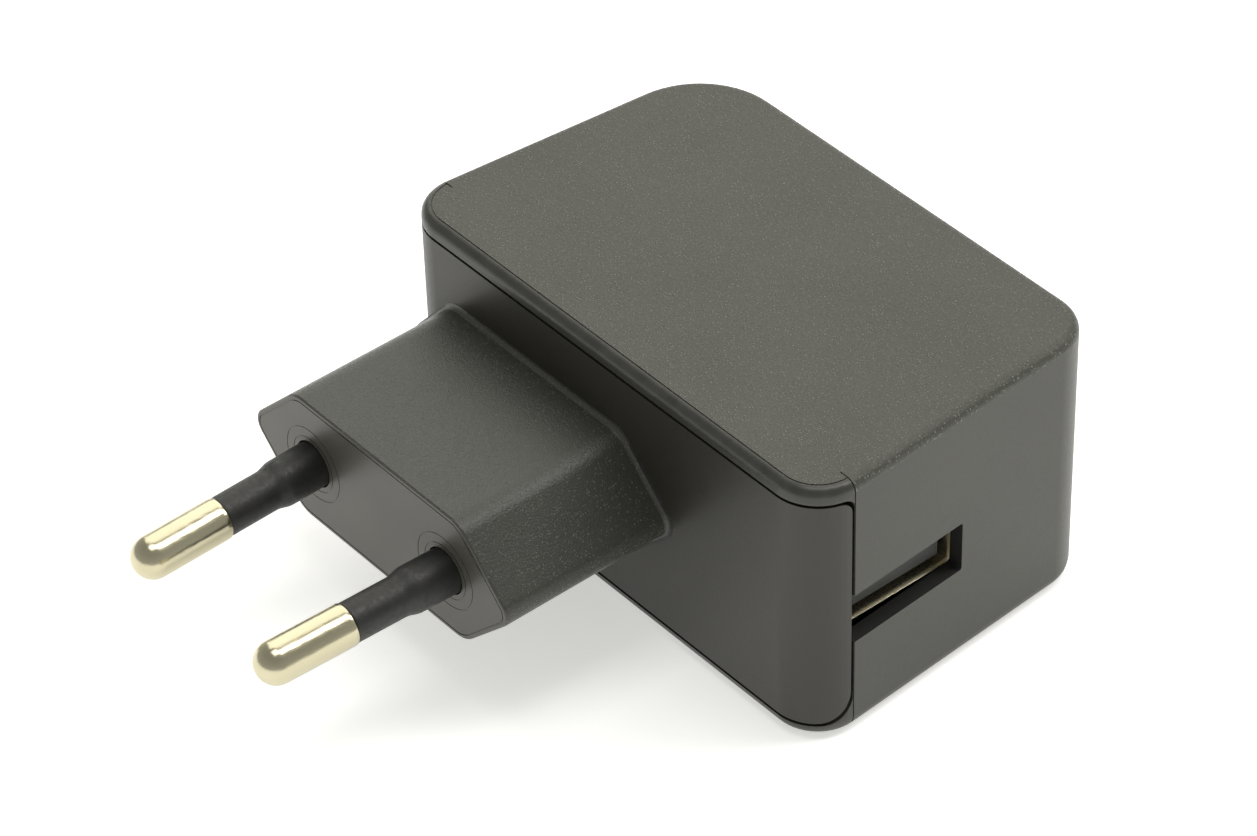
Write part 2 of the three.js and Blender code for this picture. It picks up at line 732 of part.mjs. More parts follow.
const topParts = {
  input_capacitor_1: { x: inputCanX, y: inputCanY, leads: alongY(inputCan.pitch) },
  input_capacitor_2: {
    x: inputCanX,
    y: inputCanY + 2 * inputCan.radius + partSpacing,
    leads: alongY(inputCan.pitch),
  },
  filter_choke: { x: chokeX, y: chokeY, leads: alongX(chokePitch) },
  fusible_resistor: {
    x: (pinRootX[0] + pinRootX[1]) / 2,
    y: boardFrontY + fuseRadius + partSpacing,
    leads: alongX(fuseLength + 2 * fuseLeadRun),
  },
  supply_capacitor: {
    x: inputCansEndX + supplyCan.radius + partSpacing / 2,
    y: transformerY,
    leads: alongY(supplyCan.pitch),
  },
  output_capacitor_1: { x: outputCanX, y: outputCanY, leads: alongY(outputCan.pitch) },
  output_capacitor_2: {
    x: outputCanX + 2 * outputCan.radius + partSpacing,
    y: outputCanY,
    leads: alongY(outputCan.pitch),
  },
  safety_capacitor: { x: discX, y: discY, leads: alongX(discPitch) },
};

function leadsOf({ x, y, leads }, reach = sunk) {
  const [z0, z1] = [boardBottom - leadReach, boardTop + reach];
  return leads.map(([dx, dy]) => upright(x + dx, y + dy, z0, z1, leadDiameter / 2, leadSides));
}

function can({ radius, height }, place) {
  const profile = [
    [0, 0],
    [radius - canCrimp, 0],
    [radius, canCrimp],
    [radius, crimpStart],
    [radius - canCrimp, crimpStart + crimpWidth / 2],
    [radius, crimpStart + crimpWidth],
    [radius, height - canCrimp],
    [radius - canCrimp, height],
    [0, height],
  ];
  const body = turned(profile, canSides).translate(place.x, place.y, boardTop + seatGap);
  return joined(toSolid(body), ...leadsOf(place));
}

function filterChoke() {
  const place = topParts.filter_choke;
  const waist = chokeRadius - chokeWaist;
  const profile = [
    [0, 0],
    [chokeRadius, 0],
    [chokeRadius, chokeFlange],
    [waist, chokeFlange],
    [waist, chokeHeight - chokeFlange],
    [chokeRadius, chokeHeight - chokeFlange],
    [chokeRadius, chokeHeight],
    [0, chokeHeight],
  ];
  const body = turned(profile, canSides).translate(place.x, place.y, boardTop + seatGap);
  return joined(toSolid(body), ...leadsOf(place));
}

function fusibleResistor() {
  const place = topParts.fusible_resistor;
  const half = fuseLength / 2;
  const barrel = fuseRadius - fuseWaist;
  const profile = [
    [0, -half],
    [fuseRadius, -half + fuseWaist],
    [fuseRadius, -half + fuseCapLength],
    [barrel, -half + fuseCapLength + fuseWaist],
    [barrel, half - fuseCapLength - fuseWaist],
    [fuseRadius, half - fuseCapLength],
    [fuseRadius, half - fuseWaist],
    [0, half],
  ];
  const z = boardTop + seatGap + fuseRadius;
  const body = turned(profile, canSides / 2).rotateY(Math.PI / 2).translate(place.x, place.y, z);
  const wireLength = fuseLength + 2 * fuseLeadRun + leadDiameter;
  const wire = new THREE.CylinderGeometry(leadDiameter / 2, leadDiameter / 2, wireLength, leadSides);
  const wireSolid = toSolid(wire.rotateZ(Math.PI / 2).translate(place.x, place.y, z));
  return joined(toSolid(body), wireSolid, ...leadsOf(place, z - boardTop));
}

function safetyCapacitor() {
  const place = topParts.safety_capacitor;
  const half = discThickness / 2;
  const profile = [
    [0, -half],
    [discRadius - discEdge, -half],
    [discRadius, -half + discEdge],
    [discRadius, half - discEdge],
    [discRadius - discEdge, half],
    [0, half],
  ];
  const z = boardTop + discLift + discRadius;
  const body = turned(profile, canSides).rotateX(Math.PI / 2).translate(place.x, place.y, z);
  return joined(toSolid(body), ...leadsOf(place, discLift + discRadius));
}

function barrierSheet() {
  const x = transformerX + coreLength / 2 + seatGap + tapeThickness + seatGap;
  return block(
    [x, shellY0, boardTop + seatGap],
    [x + barrierThickness, shellY1 + partSpacing, boardTop + seatGap + barrierHeight],
  );
}

// ---------------------------------------------------------------- parts under the board
// A rectangular part with a plain body, and end terminals that make it wider by the foot length.
function chip(x, y, [length, width, height], foot = 0) {
  const top = boardBottom - seatGap;
  const bodyTop = foot > 0 ? top - footLift : top;
  const body = block(
    [x - length / 2, y - width / 2, bodyTop - height],
    [x + length / 2, y + width / 2, bodyTop],
  );
  if (foot === 0) {
    return body;
  }
  const halfTab = (width * footShare) / 2;
  const reach = length / 2 + foot;
  const tab = block([x - reach, y - halfTab, top - height / 2], [x + reach, y + halfTab, top]);
  return joined(body, tab);
}

// A small integrated circuit with a row of legs along each side.
function controller(x, y) {
  const top = boardBottom - seatGap;
  const [length, width, height] = controllerSize;
  const bodyTop = top - controllerStandoff;
  const body = block(
    [x - length / 2, y - width / 2, bodyTop - height],
    [x + length / 2, y + width / 2, bodyTop],
  );
  const legs = Array.from({ length: controllerLegsPerSide }, (_, k) => {
    const legX = x + (k - (controllerLegsPerSide - 1) / 2) * controllerPitch;
    return [-1, 1].map((side) => {
      const ends = [side * (width / 2 - controllerStandoff), (side * controllerSpan) / 2];
      const [y0, y1] = ends.sort((a, b) => a - b);
      return block(
        [legX - controllerLegWidth / 2, y + y0, top - controllerLegHeight],
        [legX + controllerLegWidth / 2, y + y1, top],
      );
    });
  });
  return joined(body, ...legs.flat());
}

const primaryRowY = chokeY - chokeRadius / 2;
const controllerX = transformerX - partSpacing;
const controllerY = transformerY - 2 * partSpacing;
const controllerEndX = controllerX + controllerSize[0] / 2;
const feedbackRowY = controllerY + controllerSpan / 2 + 5 * partSpacing;
const bridgeX = chokeX - partSpacing;
const bridgeY = chokeY + leadDiameter + 2 * partSpacing + bridgeSize[1] / 2 + slideGap;
const outputDiodeY = discY + partSpacing + leadDiameter / 2 + outputDiodeSize[1] / 2;
const sensePlaceX = controllerEndX + partSpacing + largeResistorSize[0] / 2;
const underParts = {
  bridge_rectifier: chip(bridgeX, bridgeY, bridgeSize, bridgeFoot),
  controller_ic: controller(controllerX, controllerY),
  snubber_diode: chip(transformerX - coreLength / 4, primaryRowY, snubberDiodeSize, snubberDiodeFoot),
  snubber_resistor: chip(transformerX + smallResistorSize[0], primaryRowY, largeResistorSize),
  snubber_capacitor: chip(transformerX + 3 * smallCapacitorSize[0], primaryRowY, smallCapacitorSize),
  current_sense_resistor: chip(sensePlaceX, controllerY, largeResistorSize),
  feedback_resistor_1: chip(transformerX - smallResistorSize[0], feedbackRowY, smallResistorSize),
  feedback_resistor_2: chip(transformerX + smallResistorSize[0], feedbackRowY, smallResistorSize),
  output_diode: chip(discX, outputDiodeY, outputDiodeSize, outputDiodeFoot),
  data_resistor: chip(shellRearX + shellDepth / 2, shellMidY, smallResistorSize),
};

// ---------------------------------------------------------------- board
function mainBoard() {
  const sheet = prismUp(planOutline(boardInset), boardBottom, boardTop);
  const hole = (x, y, radius) => upright(x, y, boardBottom - past, boardTop + past, radius, leadSides + 2);
  const leadHole = leadDiameter / 2 + slideGap;
  const throughHoles = Object.values(topParts).flatMap(({ x, y, leads }) =>
    leads.map(([dx, dy]) => hole(x + dx, y + dy, leadHole)),
  );
  const bobbinHoles = bobbinPinX.flatMap((x) =>
    bobbinPinY.map((y) => hole(x, transformerY + y, leadHole)),
  );
  const tailHoles = contactY.map((y) => hole(tailX, y, contactWidth / 2 + fitGap));
  const shellHoles = shellLegX.flatMap((x) =>
    shellLegY.map((y) => hole(x, y, shellLegWidth / 2 + fitGap)),
  );
  const stripHoles = pinRootX.map((x) => hole(x, stripFootY, stripLegWidth / 2 + fitGap));
  const holes = [...throughHoles, ...bobbinHoles, ...tailHoles, ...shellHoles, ...stripHoles];
  return without(sheet, ...holes);
}

// ---------------------------------------------------------------- assembly
const charger = new THREE.Group();
const housing = new THREE.Group();
const plug = new THREE.Group();
const receptacle = new THREE.Group();
const transformer = new THREE.Group();
const circuit = new THREE.Group();
charger.add(housing, plug, receptacle, transformer, circuit);

housing.add(part('rear_housing', rearHousing(), housingPlastic));
housing.add(part('front_cover', frontCover(), coverPlastic));
['left', 'right'].forEach((name, index) => {
  plug.add(part(`pin_${name}`, pin(index), nickel));
  plug.add(part(`pin_sleeve_${name}`, pinSleeve(index), sleevePlastic));
  plug.add(part(`contact_strip_${name}`, contactStrip(index), goldPlate));
});

receptacle.add(part('usb_shell', usbShell(), tinnedSheet));
receptacle.add(part('usb_insulator', usbInsulator(), greyInsulator));
contactY.forEach((_, index) => {
  receptacle.add(part(`usb_contact_${index + 1}`, usbContact(index), goldPlate));
});

transformer.add(part('core_half_left', coreHalf(-1), ferrite));
transformer.add(part('core_half_right', coreHalf(1), ferrite));
transformer.add(part('bobbin', bobbin(), bobbinPlastic));
transformer.add(part('winding', winding(), copper));
transformer.add(part('winding_tape', windingTape(), yellowTape));
transformer.add(part('core_tape', coreTape(), yellowTape));

circuit.add(part('main_board', mainBoard(), glassEpoxy));
circuit.add(part('input_capacitor_1', can(inputCan, topParts.input_capacitor_1), canSleeve));
circuit.add(part('input_capacitor_2', can(inputCan, topParts.input_capacitor_2), canSleeve));
circuit.add(part('filter_choke', filterChoke(), heatShrink));
circuit.add(part('fusible_resistor', fusibleResistor(), greenResistor));
circuit.add(part('supply_capacitor', can(supplyCan, topParts.supply_capacitor), canSleeve));
circuit.add(part('output_capacitor_1', can(outputCan, topParts.output_capacitor_1), canSleeve));
circuit.add(part('output_capacitor_2', can(outputCan, topParts.output_capacitor_2), canSleeve));
circuit.add(part('safety_capacitor', safetyCapacitor(), blueCeramic));
circuit.add(part('barrier_sheet', barrierSheet(), clearFilm));
Object.entries(underParts).forEach(([name, solid]) => {
  const material = name.includes('resistor') || name.includes('capacitor') ? chipCeramic : blackEpoxy;
  circuit.add(part(name, solid, material));
});

export default charger;
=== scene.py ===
import logging
import math
from collections.abc import Callable, Sequence
from dataclasses import dataclass, field
from enum import Enum

import bpy
import numpy as np
from mathutils import Matrix, Vector


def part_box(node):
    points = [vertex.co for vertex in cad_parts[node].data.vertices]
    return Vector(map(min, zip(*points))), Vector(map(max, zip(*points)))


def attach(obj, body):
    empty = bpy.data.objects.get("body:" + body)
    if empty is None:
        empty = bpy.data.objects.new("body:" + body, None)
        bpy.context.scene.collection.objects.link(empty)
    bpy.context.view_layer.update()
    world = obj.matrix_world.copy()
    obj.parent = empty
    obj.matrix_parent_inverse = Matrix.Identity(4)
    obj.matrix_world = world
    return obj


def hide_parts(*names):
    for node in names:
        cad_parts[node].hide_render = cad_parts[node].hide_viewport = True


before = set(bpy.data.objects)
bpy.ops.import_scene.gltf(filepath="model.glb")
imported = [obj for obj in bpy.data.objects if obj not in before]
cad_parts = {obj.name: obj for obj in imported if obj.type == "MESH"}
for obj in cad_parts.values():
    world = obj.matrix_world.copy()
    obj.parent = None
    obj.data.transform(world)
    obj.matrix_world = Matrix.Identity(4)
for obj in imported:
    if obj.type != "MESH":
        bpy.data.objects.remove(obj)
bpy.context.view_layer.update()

log = logging.getLogger("wall_charger")

MM = 0.001  # the shapes below are worked out in millimetres and put into the scene in metres
BODY = "root"  # nothing moves, so every piece rides on the one body

SHELL_HEIGHT = 5.7  # of the receptacle's shell without its legs, in millimetres
CUT = 40.0  # reach of a cutter that runs clear of the whole body, in millimetres
NOISE_MIDDLE = (0.3, 0.7)  # the part of its range in which most of a noise lies
PIT_EDGE = (0.42, 0.15)  # distance from a cell's middle at which a pit begins and at which it is full

Array = np.ndarray
Piece = bpy.types.Object
Tree = bpy.types.NodeTree
Socket = bpy.types.NodeSocket
Node = bpy.types.Node


class Join(Enum):
    """What a second solid does to the first."""

    REMOVE = "DIFFERENCE"
    KEEP = "INTERSECT"
    ADD = "UNION"


class Ends(Enum):
    """How the first and last rings of a body are closed."""

    FLAT = "flat"
    LOOPED = "looped"


# ---------------------------------------------------------------- shapes
def box_of(node: str) -> tuple[Array, Array]:
    """Lowest and highest corner of a CAD node in millimetres.

    Args:
        node: name of the CAD node.

    Returns:
        The two corners.
    """
    low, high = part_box(node)
    return np.array(low) / MM, np.array(high) / MM


def rounded_outline(corners: Sequence[Sequence[float]], radii: Sequence[float], steps: int = 12) -> Array:
    """Closed outline through corners taken anticlockwise, each one rounded.

    Each arc's centre lies on its corner's bisector, at the radius over the cosine of half the turn, and its
    points stand at equal angles from the normal of the side before to the normal of the side after.

    Args:
        corners: the sharp corners.
        radii: the radius at each corner.
        steps: chords in each arc.

    Returns:
        Points, one row each.
    """
    corner = np.asarray(corners, float)
    radius = np.asarray(radii, float)[:, None]
    before = corner - np.roll(corner, 1, axis=0)
    before /= np.linalg.norm(before, axis=1, keepdims=True)
    after = np.roll(before, -1, axis=0)
    turn = np.arccos(np.clip((before * after).sum(axis=1, keepdims=True), -1, 1))
    inward = after - before
    inward /= np.linalg.norm(inward, axis=1, keepdims=True)
    centre = corner + inward * radius / np.cos(turn / 2)
    first = np.arctan2(-before[:, :1], before[:, 1:])
    angle = first + turn * np.linspace(0, 1, steps + 1)
    arcs = np.stack([np.cos(angle), np.sin(angle)], axis=-1) * radius[..., None] + centre[:, None]
    return arcs.reshape(-1, 2)


def quarter(radius: float, angles: Array, start: float, across: float) -> list[list[float]]:
    """Points of a rounding between a flat face and a side.

    Args:
        radius: of the rounding.
        angles: in radians, 0 at the flat face.
        start: place of the flat face, from which the rounding runs onwards.
        across: size of the body past the rounding.

    Returns:
        Pairs of size and place.
    """
    return [[across - radius * (1 - math.sin(a)), start + radius * (1 - math.cos(a))] for a in angles]


def new_piece(name: str, points: Array, faces: list[list[int]]) -> Piece:
    """A mesh object at the origin with its place in its mesh.

    Args:
        name: the piece's name.
        points: vertices in millimetres.
        faces: vertex numbers of each face.

    Returns:
        The object, linked to the scene.
    """
    mesh = bpy.data.meshes.new(name)
    mesh.from_pydata((points * MM).tolist(), [], faces)
    mesh.validate()
    piece = bpy.data.objects.new(name, mesh)
    bpy.context.scene.collection.objects.link(piece)
    return piece


def lofted(name: str, rings: Array, ends: Ends = Ends.FLAT) -> Piece:
    """Closed body through a stack of rings.

    Vertex j of ring i joins vertex j of ring i + 1. The rings turn anticlockwise seen from the last one.

    Args:
        name: the piece's name.
        rings: array of rings by points by 3, in millimetres.
        ends: flat faces on the first and last rings, or a join from the last ring to the first.

    Returns:
        The object.
    """
    count, size, _ = rings.shape
    spans = count if ends is Ends.LOOPED else count - 1
    i, j = np.meshgrid(np.arange(spans), np.arange(size), indexing="ij")
    up, on = (i + 1) % count, (j + 1) % size
    quads = np.stack([i * size + j, i * size + on, up * size + on, up * size + j], axis=-1)
    faces = quads.reshape(-1, 4).tolist()
    if ends is Ends.FLAT:
        faces.append(list(range(size))[::-1])
        faces.append(list(range((count - 1) * size, count * size)))
    return new_piece(name, rings.reshape(-1, 3), faces)


def prism(name: str, outline: Array, axis: int, start: float, stop: float) -> Piece:
    """An outline carried straight along one axis.

    Args:
        name: the piece's name.
        outline: anticlockwise points in the two axes that follow the given one, in turn.
        axis: 0, 1 or 2 for X, Y or Z.
        start: where it begins on that axis.
        stop: where it ends.

    Returns:
        The object.
    """
    rings = np.empty((2, len(outline), 3))
    rings[:, :, (axis + 1) % 3] = outline[:, 0]
    rings[:, :, (axis + 2) % 3] = outline[:, 1]
    rings[:, :, axis] = np.array([[start], [stop]])
    return lofted(name, rings)


def brick(name: str, low: Sequence[float], high: Sequence[float], radius: float = 0.0) -> Piece:
    """A rectangular cutter between two corners, its edges along X rounded if asked.

    Args:
        name: the piece's name.
        low: lowest corner.
        high: highest corner.
        radius: radius of the edges along X.

    Returns:
        The object.
    """
    corners = [[low[1], low[2]], [high[1], low[2]], [high[1], high[2]], [low[1], high[2]]]
    outline = rounded_outline(corners, [radius] * 4, 4) if radius > 0 else np.array(corners)
    return prism(name, outline, 0, low[0], high[0])


def revolved(name: str, profile: Sequence[Sequence[float]], steps: int, place: Matrix, ends: Ends) -> Piece:
    """A turned body: each [radius, height] of the profile becomes a ring about the local Z axis.

    Args:
        name: the piece's name.
        profile: radius and height pairs, from the bottom up on the outside.
        steps: points in each ring.
        place: where the body stands, in millimetres.
        ends: flat ends, or a profile that closes on itself.

    Returns:
        The object.
    """
    pairs = np.asarray(profile, float)
    angle = np.linspace(0, 2 * math.pi, steps, endpoint=False)
    rings = np.empty((len(pairs), steps, 3))
    rings[:, :, 0] = pairs[:, :1] * np.cos(angle)
    rings[:, :, 1] = pairs[:, :1] * np.sin(angle)
    rings[:, :, 2] = pairs[:, 1:]
    turned = rings @ np.array(place.to_3x3()).T + np.array(place.translation)
    return lofted(name, turned, ends)


def bent_strip(line: Sequence[Sequence[float]], thickness: float, bend: float, steps: int = 5) -> Array:
    """Outline of a strip of sheet that follows a bent line in a plane.

    Every inner point of the line becomes a quadratic curve between two points a bend away from it. The
    outline is that line moved by half the thickness to each side along its own normal.

    Args:
        line: the points of the line.
        thickness: of the sheet.
        bend: how far from each point its curve begins.
        steps: chords in each curve.

    Returns:
        The closed outline, anticlockwise.
    """
    points = np.asarray(line, float)
    ahead = np.diff(points, axis=0)
    length = np.linalg.norm(ahead, axis=1, keepdims=True)
    ahead /= length
    reach = np.minimum(bend, length * 0.45)
    start = points[1:-1] - ahead[:-1] * np.minimum(reach[:-1], reach[1:])
    stop = points[1:-1] + ahead[1:] * np.minimum(reach[:-1], reach[1:])
    t = np.linspace(0, 1, steps + 1)[None, :, None]
    curve = (1 - t) ** 2 * start[:, None] + 2 * t * (1 - t) * points[1:-1, None] + t**2 * stop[:, None]
    centre = np.vstack([points[:1], curve.reshape(-1, 2), points[-1:]])
    slope = np.gradient(centre, axis=0)
    slope /= np.linalg.norm(slope, axis=1, keepdims=True)
    normal = np.stack([-slope[:, 1], slope[:, 0]], axis=1) * thickness / 2
    outline = np.vstack([centre - normal, (centre + normal)[::-1]])
    x, y = outline.T
    area = np.sum(x * np.roll(y, -1) - y * np.roll(x, -1))
    return outline if area > 0 else outline[::-1]


def settle(piece: Piece) -> None:
    """Makes the piece's modifiers part of its mesh.

    Args:
        piece: the solid.
    """
    graph = bpy.context.evaluated_depsgraph_get()
    mesh = bpy.data.meshes.new_from_object(piece.evaluated_get(graph))
    piece.modifiers.clear()
    piece.data = mesh


def combine(piece: Piece, how: Join, *tools: Piece) -> Piece:
    """Cuts, keeps or adds other solids, which are used up.

    Args:
        piece: the solid that is changed.
        how: what the others do to it.
        tools: the other solids.

    Returns:
        The changed piece.
    """
    for tool in tools:
        change = piece.modifiers.new("combine", "BOOLEAN")
        change.operation = how.value
        change.solver = "EXACT"
        change.object = tool
        settle(piece)
        bpy.data.objects.remove(tool)
    return piece


def soften(piece: Piece, width: float, angle: float = 32.0, segments: int = 2) -> None:
    """Rounds every edge that is sharper than an angle.

    Args:
        piece: the solid.
        width: of the rounding in millimetres.
        angle: the least turn, in degrees, of an edge that is rounded.
        segments: faces across the rounding.
    """
    bevel = piece.modifiers.new("soften", "BEVEL")
    bevel.width = width * MM
    bevel.segments = segments
    bevel.limit_method = "ANGLE"
    bevel.angle_limit = math.radians(angle)
    bevel.use_clamp_overlap = True
    bevel.loop_slide = False
    settle(piece)


def shade(piece: Piece, angle: float = 35.0) -> None:
    """Smooth shading that follows the large faces and breaks at edges sharper than an angle.

    Args:
        piece: the solid.
        angle: in degrees.
    """
    mesh = piece.data
    mesh.shade_smooth()
    mesh.set_sharp_from_angle(angle=math.radians(angle))
    weighted = piece.modifiers.new("shade", "WEIGHTED_NORMAL")
    weighted.keep_sharp = True
    weighted.weight = 80
    settle(piece)


# ---------------------------------------------------------------- finishes
def linear(colour: str, alpha: float = 1.0) -> tuple[float, float, float, float]:
    """A linear colour from an sRGB hex value.

    Args:
        colour: such as "#5c5d55".
        alpha: the fourth number.

    Returns:
        Red, green, blue and alpha.
    """
    parts = [int(colour[i : i + 2], 16) / 255 for i in (1, 3, 5)]
    low = [part / 12.92 if part <= 0.04045 else ((part + 0.055) / 1.055) ** 2.4 for part in parts]
    return low[0], low[1], low[2], alpha


def add_node(tree: Tree, kind: str, settings: dict | None = None, links: dict | None = None) -> Node:
    """Adds a node to a tree.

    Args:
        tree: the node tree.
        kind: the node's type.
        settings: attributes by name, and socket values by the socket's name or number.
        links: output sockets by the name or number of the input they feed.

    Returns:
        The node.
    """
    made = tree.nodes.new(kind)
    for key, value in (settings or {}).items():
        if isinstance(key, str) and hasattr(made, key):
            setattr(made, key, value)
        else:
            made.inputs[key].default_value = value
    for key, source in (links or {}).items():
        tree.links.new(source, made.inputs[key])
    return made


@dataclass(frozen=True)
class Canvas:
    """The node tree of one material, its surface shader and its coordinates in metres."""

    tree: Tree
    shader: Node
    place: Socket

    def node(self, kind: str, settings: dict | None = None, links: dict | None = None) -> Node:
        """Adds a node to the material, as add_node does."""
        return add_node(self.tree, kind, settings, links)

    def feed(self, name: str, source: Socket) -> None:
        """Leads a value into the shader's input of that name."""
        self.tree.links.new(source, self.shader.inputs[name])

    def noise(self, size: float, detail: float = 2.0) -> Socket:
        """A noise whose spots are about the given size in millimetres.

        Args:
            size: of a spot.
            detail: octaves.

        Returns:
            The noise's value.
        """
        settings = {"Scale": 1 / (size * MM), "Detail": detail, "Roughness": 0.55}
        return self.node("ShaderNodeTexNoise", settings, {"Vector": self.place}).outputs[0]

    def remap(self, value: Socket, source: Sequence[float], result: Sequence[float]) -> Socket:
        """Takes one range to another.

        Args:
            value: what is changed.
            source: where its range starts and stops.
            result: where the new range starts and stops.

        Returns:
            The result.
        """
        settings = dict(zip(("From Min", "From Max", "To Min", "To Max"), (*source, *result)))
        return self.node("ShaderNodeMapRange", settings, {"Value": value}).outputs["Result"]

    def spread(self, value: Socket, low: float, high: float) -> Socket:
        """Takes the middle of a noise to a range."""
        return self.remap(value, NOISE_MIDDLE, (low, high))

    def maths(self, operation: str, first: Socket, second: Socket | float) -> Socket:
        """A sum or product.

        Args:
            operation: such as "ADD".
            first: one value.
            second: the other, linked or fixed.

        Returns:
            The result.
        """
        if isinstance(second, float):
            return self.node("ShaderNodeMath", {"operation": operation, 1: second}, {0: first}).outputs[0]
        return self.node("ShaderNodeMath", {"operation": operation}, {0: first, 1: second}).outputs[0]

    def colours(self, factor: Socket, first: str, second: str) -> Socket:
        """A colour between two hex values: 0 gives the first and 1 the second."""
        settings = {"data_type": "RGBA", 6: linear(first), 7: linear(second)}
        return self.node("ShaderNodeMix", settings, {0: factor}).outputs[2]

    def bump(self, height: Socket, depth: float, under: Socket | None = None) -> Socket:
        """A relief of the given depth in millimetres.

        Args:
            height: its shape, from 0 to 1.
            depth: in millimetres.
            under: the normal of a relief that it lies on.

        Returns:
            The normal.
        """
        links = {"Height": height}
        if under is not None:
            links["Normal"] = under
        return self.node("ShaderNodeBump", {"Strength": 1.0, "Distance": depth * MM}, links).outputs["Normal"]


@dataclass(frozen=True)
class Finish:
    """A solid material with an even fine grain: its colour and gloss wander a little over the surface."""

    name: str
    colour: str
    shade: str
    roughness: float
    ior: float = 1.5
    metallic: float = 0.0
    grain: float = 0.2  # size of one grain in millimetres
    relief: float = 0.01  # height of the grain in millimetres
    patch: float = 6.0  # size of the slow changes of colour in millimetres
    gloss_spread: float = 0.08
    stretch: tuple[float, float, float] = (1.0, 1.0, 1.0)

    def make(self) -> bpy.types.Material:
        """The material, made once.

        Returns:
            The material.
        """
        known = bpy.data.materials.get(self.name)
        if known:
            return known
        material = bpy.data.materials.new(self.name)
        material.use_nodes = True
        tree = material.node_tree
        tree.nodes.clear()
        output = add_node(tree, "ShaderNodeOutputMaterial")
        shader = add_node(tree, "ShaderNodeBsdfPrincipled", {"Metallic": self.metallic, "IOR": self.ior})
        place = add_node(tree, "ShaderNodeTexCoord").outputs["Object"]
        mapping = add_node(tree, "ShaderNodeMapping", {"Scale": self.stretch}, {"Vector": place})
        self.dress(Canvas(tree, shader, mapping.outputs["Vector"]))
        tree.links.new(shader.outputs["BSDF"], output.inputs["Surface"])
        return material

    def gloss(self, canvas: Canvas, pattern: Socket) -> None:
        """Lets the roughness wander about its middle value with a pattern."""
        low = self.roughness - self.gloss_spread / 2
        canvas.feed("Roughness", canvas.spread(pattern, low, low + self.gloss_spread))

    def dress(self, canvas: Canvas) -> None:
        """Sets colour, gloss and relief.

        Args:
            canvas: the material's tree, shader and coordinates.
        """
        slow = canvas.spread(canvas.noise(self.patch), 0.0, 1.0)
        grain = canvas.noise(self.grain, 3.0)
        canvas.feed("Base Color", canvas.colours(slow, self.colour, self.shade))
        self.gloss(canvas, grain)
        canvas.feed("Normal", canvas.bump(grain, self.relief))


@dataclass(frozen=True)
class SparkErodedPlastic(Finish):
    """Plastic moulded against a spark-eroded tool: a coarse sand of pits whose steep sides glint, a share of
    them also painted pale as painted glints.
    """

    fleck: float = 0.16  # spacing of the glinting pits in millimetres
    # pale colour of a share of the pits: a painted glint
    glint_paint_colour: str = "#a9aaa0"
    fleck_share: float = 0.1

    def dress(self, canvas: Canvas) -> None:
        """Sets colour, gloss and relief, and scatters small pits whose pale colour is a painted glint.

        Args:
            canvas: the material's tree, shader and coordinates.
        """
        slow = canvas.spread(canvas.noise(self.patch), 0.0, 1.0)
        grain = canvas.noise(self.grain, 4.0)
        scale = {"Scale": 1 / (self.fleck * MM)}
        cells = canvas.node("ShaderNodeTexVoronoi", scale, {"Vector": canvas.place})
        chance = canvas.node("ShaderNodeSeparateColor", {}, {"Color": cells.outputs["Color"]}).outputs[0]
        lucky = canvas.remap(chance, (1 - self.fleck_share, 1.0), (0.0, 1.0))
        inside = canvas.remap(cells.outputs["Distance"], PIT_EDGE, (0.0, 1.0))
        # the pits give relief and are also painted in the pale colour below, as painted glints
        pit_with_painted_glint = canvas.maths("MULTIPLY", lucky, inside)
        body = canvas.colours(slow, self.colour, self.shade)
        mix = {"data_type": "RGBA", 7: linear(self.glint_paint_colour)}
        canvas.feed("Base Color", canvas.node("ShaderNodeMix", mix, {0: pit_with_painted_glint, 6: body}).outputs[2])
        self.gloss(canvas, grain)
        sand = canvas.bump(grain, self.relief)
        canvas.feed("Normal", canvas.bump(pit_with_painted_glint, self.relief, sand))


@dataclass(frozen=True)
class WovenLaminate(Finish):
    """Glass cloth under green solder mask: the weave shows as a low square pattern."""

    thread: float = 0.45

    def dress(self, canvas: Canvas) -> None:
        """Sets the mask's colour and gloss over two crossed sets of threads.

        Args:
            canvas: the material's tree, shader and coordinates.
        """
        wave = 1 / (self.thread * MM) / 6.28
        at = {"Vector": canvas.place}
        bands = [{"bands_direction": way, "Scale": wave} for way in "XY"]
        warp, weft = (canvas.node("ShaderNodeTexWave", settings, at) for settings in bands)
        cloth = canvas.maths("MULTIPLY", warp.outputs[1], weft.outputs[1])
        slow = canvas.noise(self.patch)
        half = canvas.maths("MULTIPLY", canvas.maths("ADD", cloth, slow), 0.5)
        canvas.feed("Base Color", canvas.colours(half, self.colour, self.shade))
        self.gloss(canvas, slow)
        canvas.feed("Normal", canvas.bump(cloth, self.relief))


@dataclass(frozen=True)
class WoundWire(Finish):
    """Enamelled copper wire laid turn against turn round the X axis, its colour painted darker towards the
    valleys between turns as painted shade.
    """

    wire: float = 0.35

    def dress(self, canvas: Canvas) -> None:
        """Sets the enamel's colour, painted darker towards the valleys between turns as painted shade, and
        the round backs of the wires.

        Args:
            canvas: the material's tree, shader and coordinates.
        """
        settings = {"bands_direction": "X", "Scale": 1 / (self.wire * MM) / 3.14, "Distortion": 0.4}
        turn_relief_and_painted_shade = canvas.node("ShaderNodeTexWave", settings, {"Vector": canvas.place}).outputs[1]
        # the darker colour in the valleys between turns is painted shade
        canvas.feed("Base Color", canvas.colours(turn_relief_and_painted_shade, self.shade, self.colour))
        self.gloss(canvas, canvas.noise(self.patch))
        canvas.feed("Normal", canvas.bump(turn_relief_and_painted_shade, self.relief))


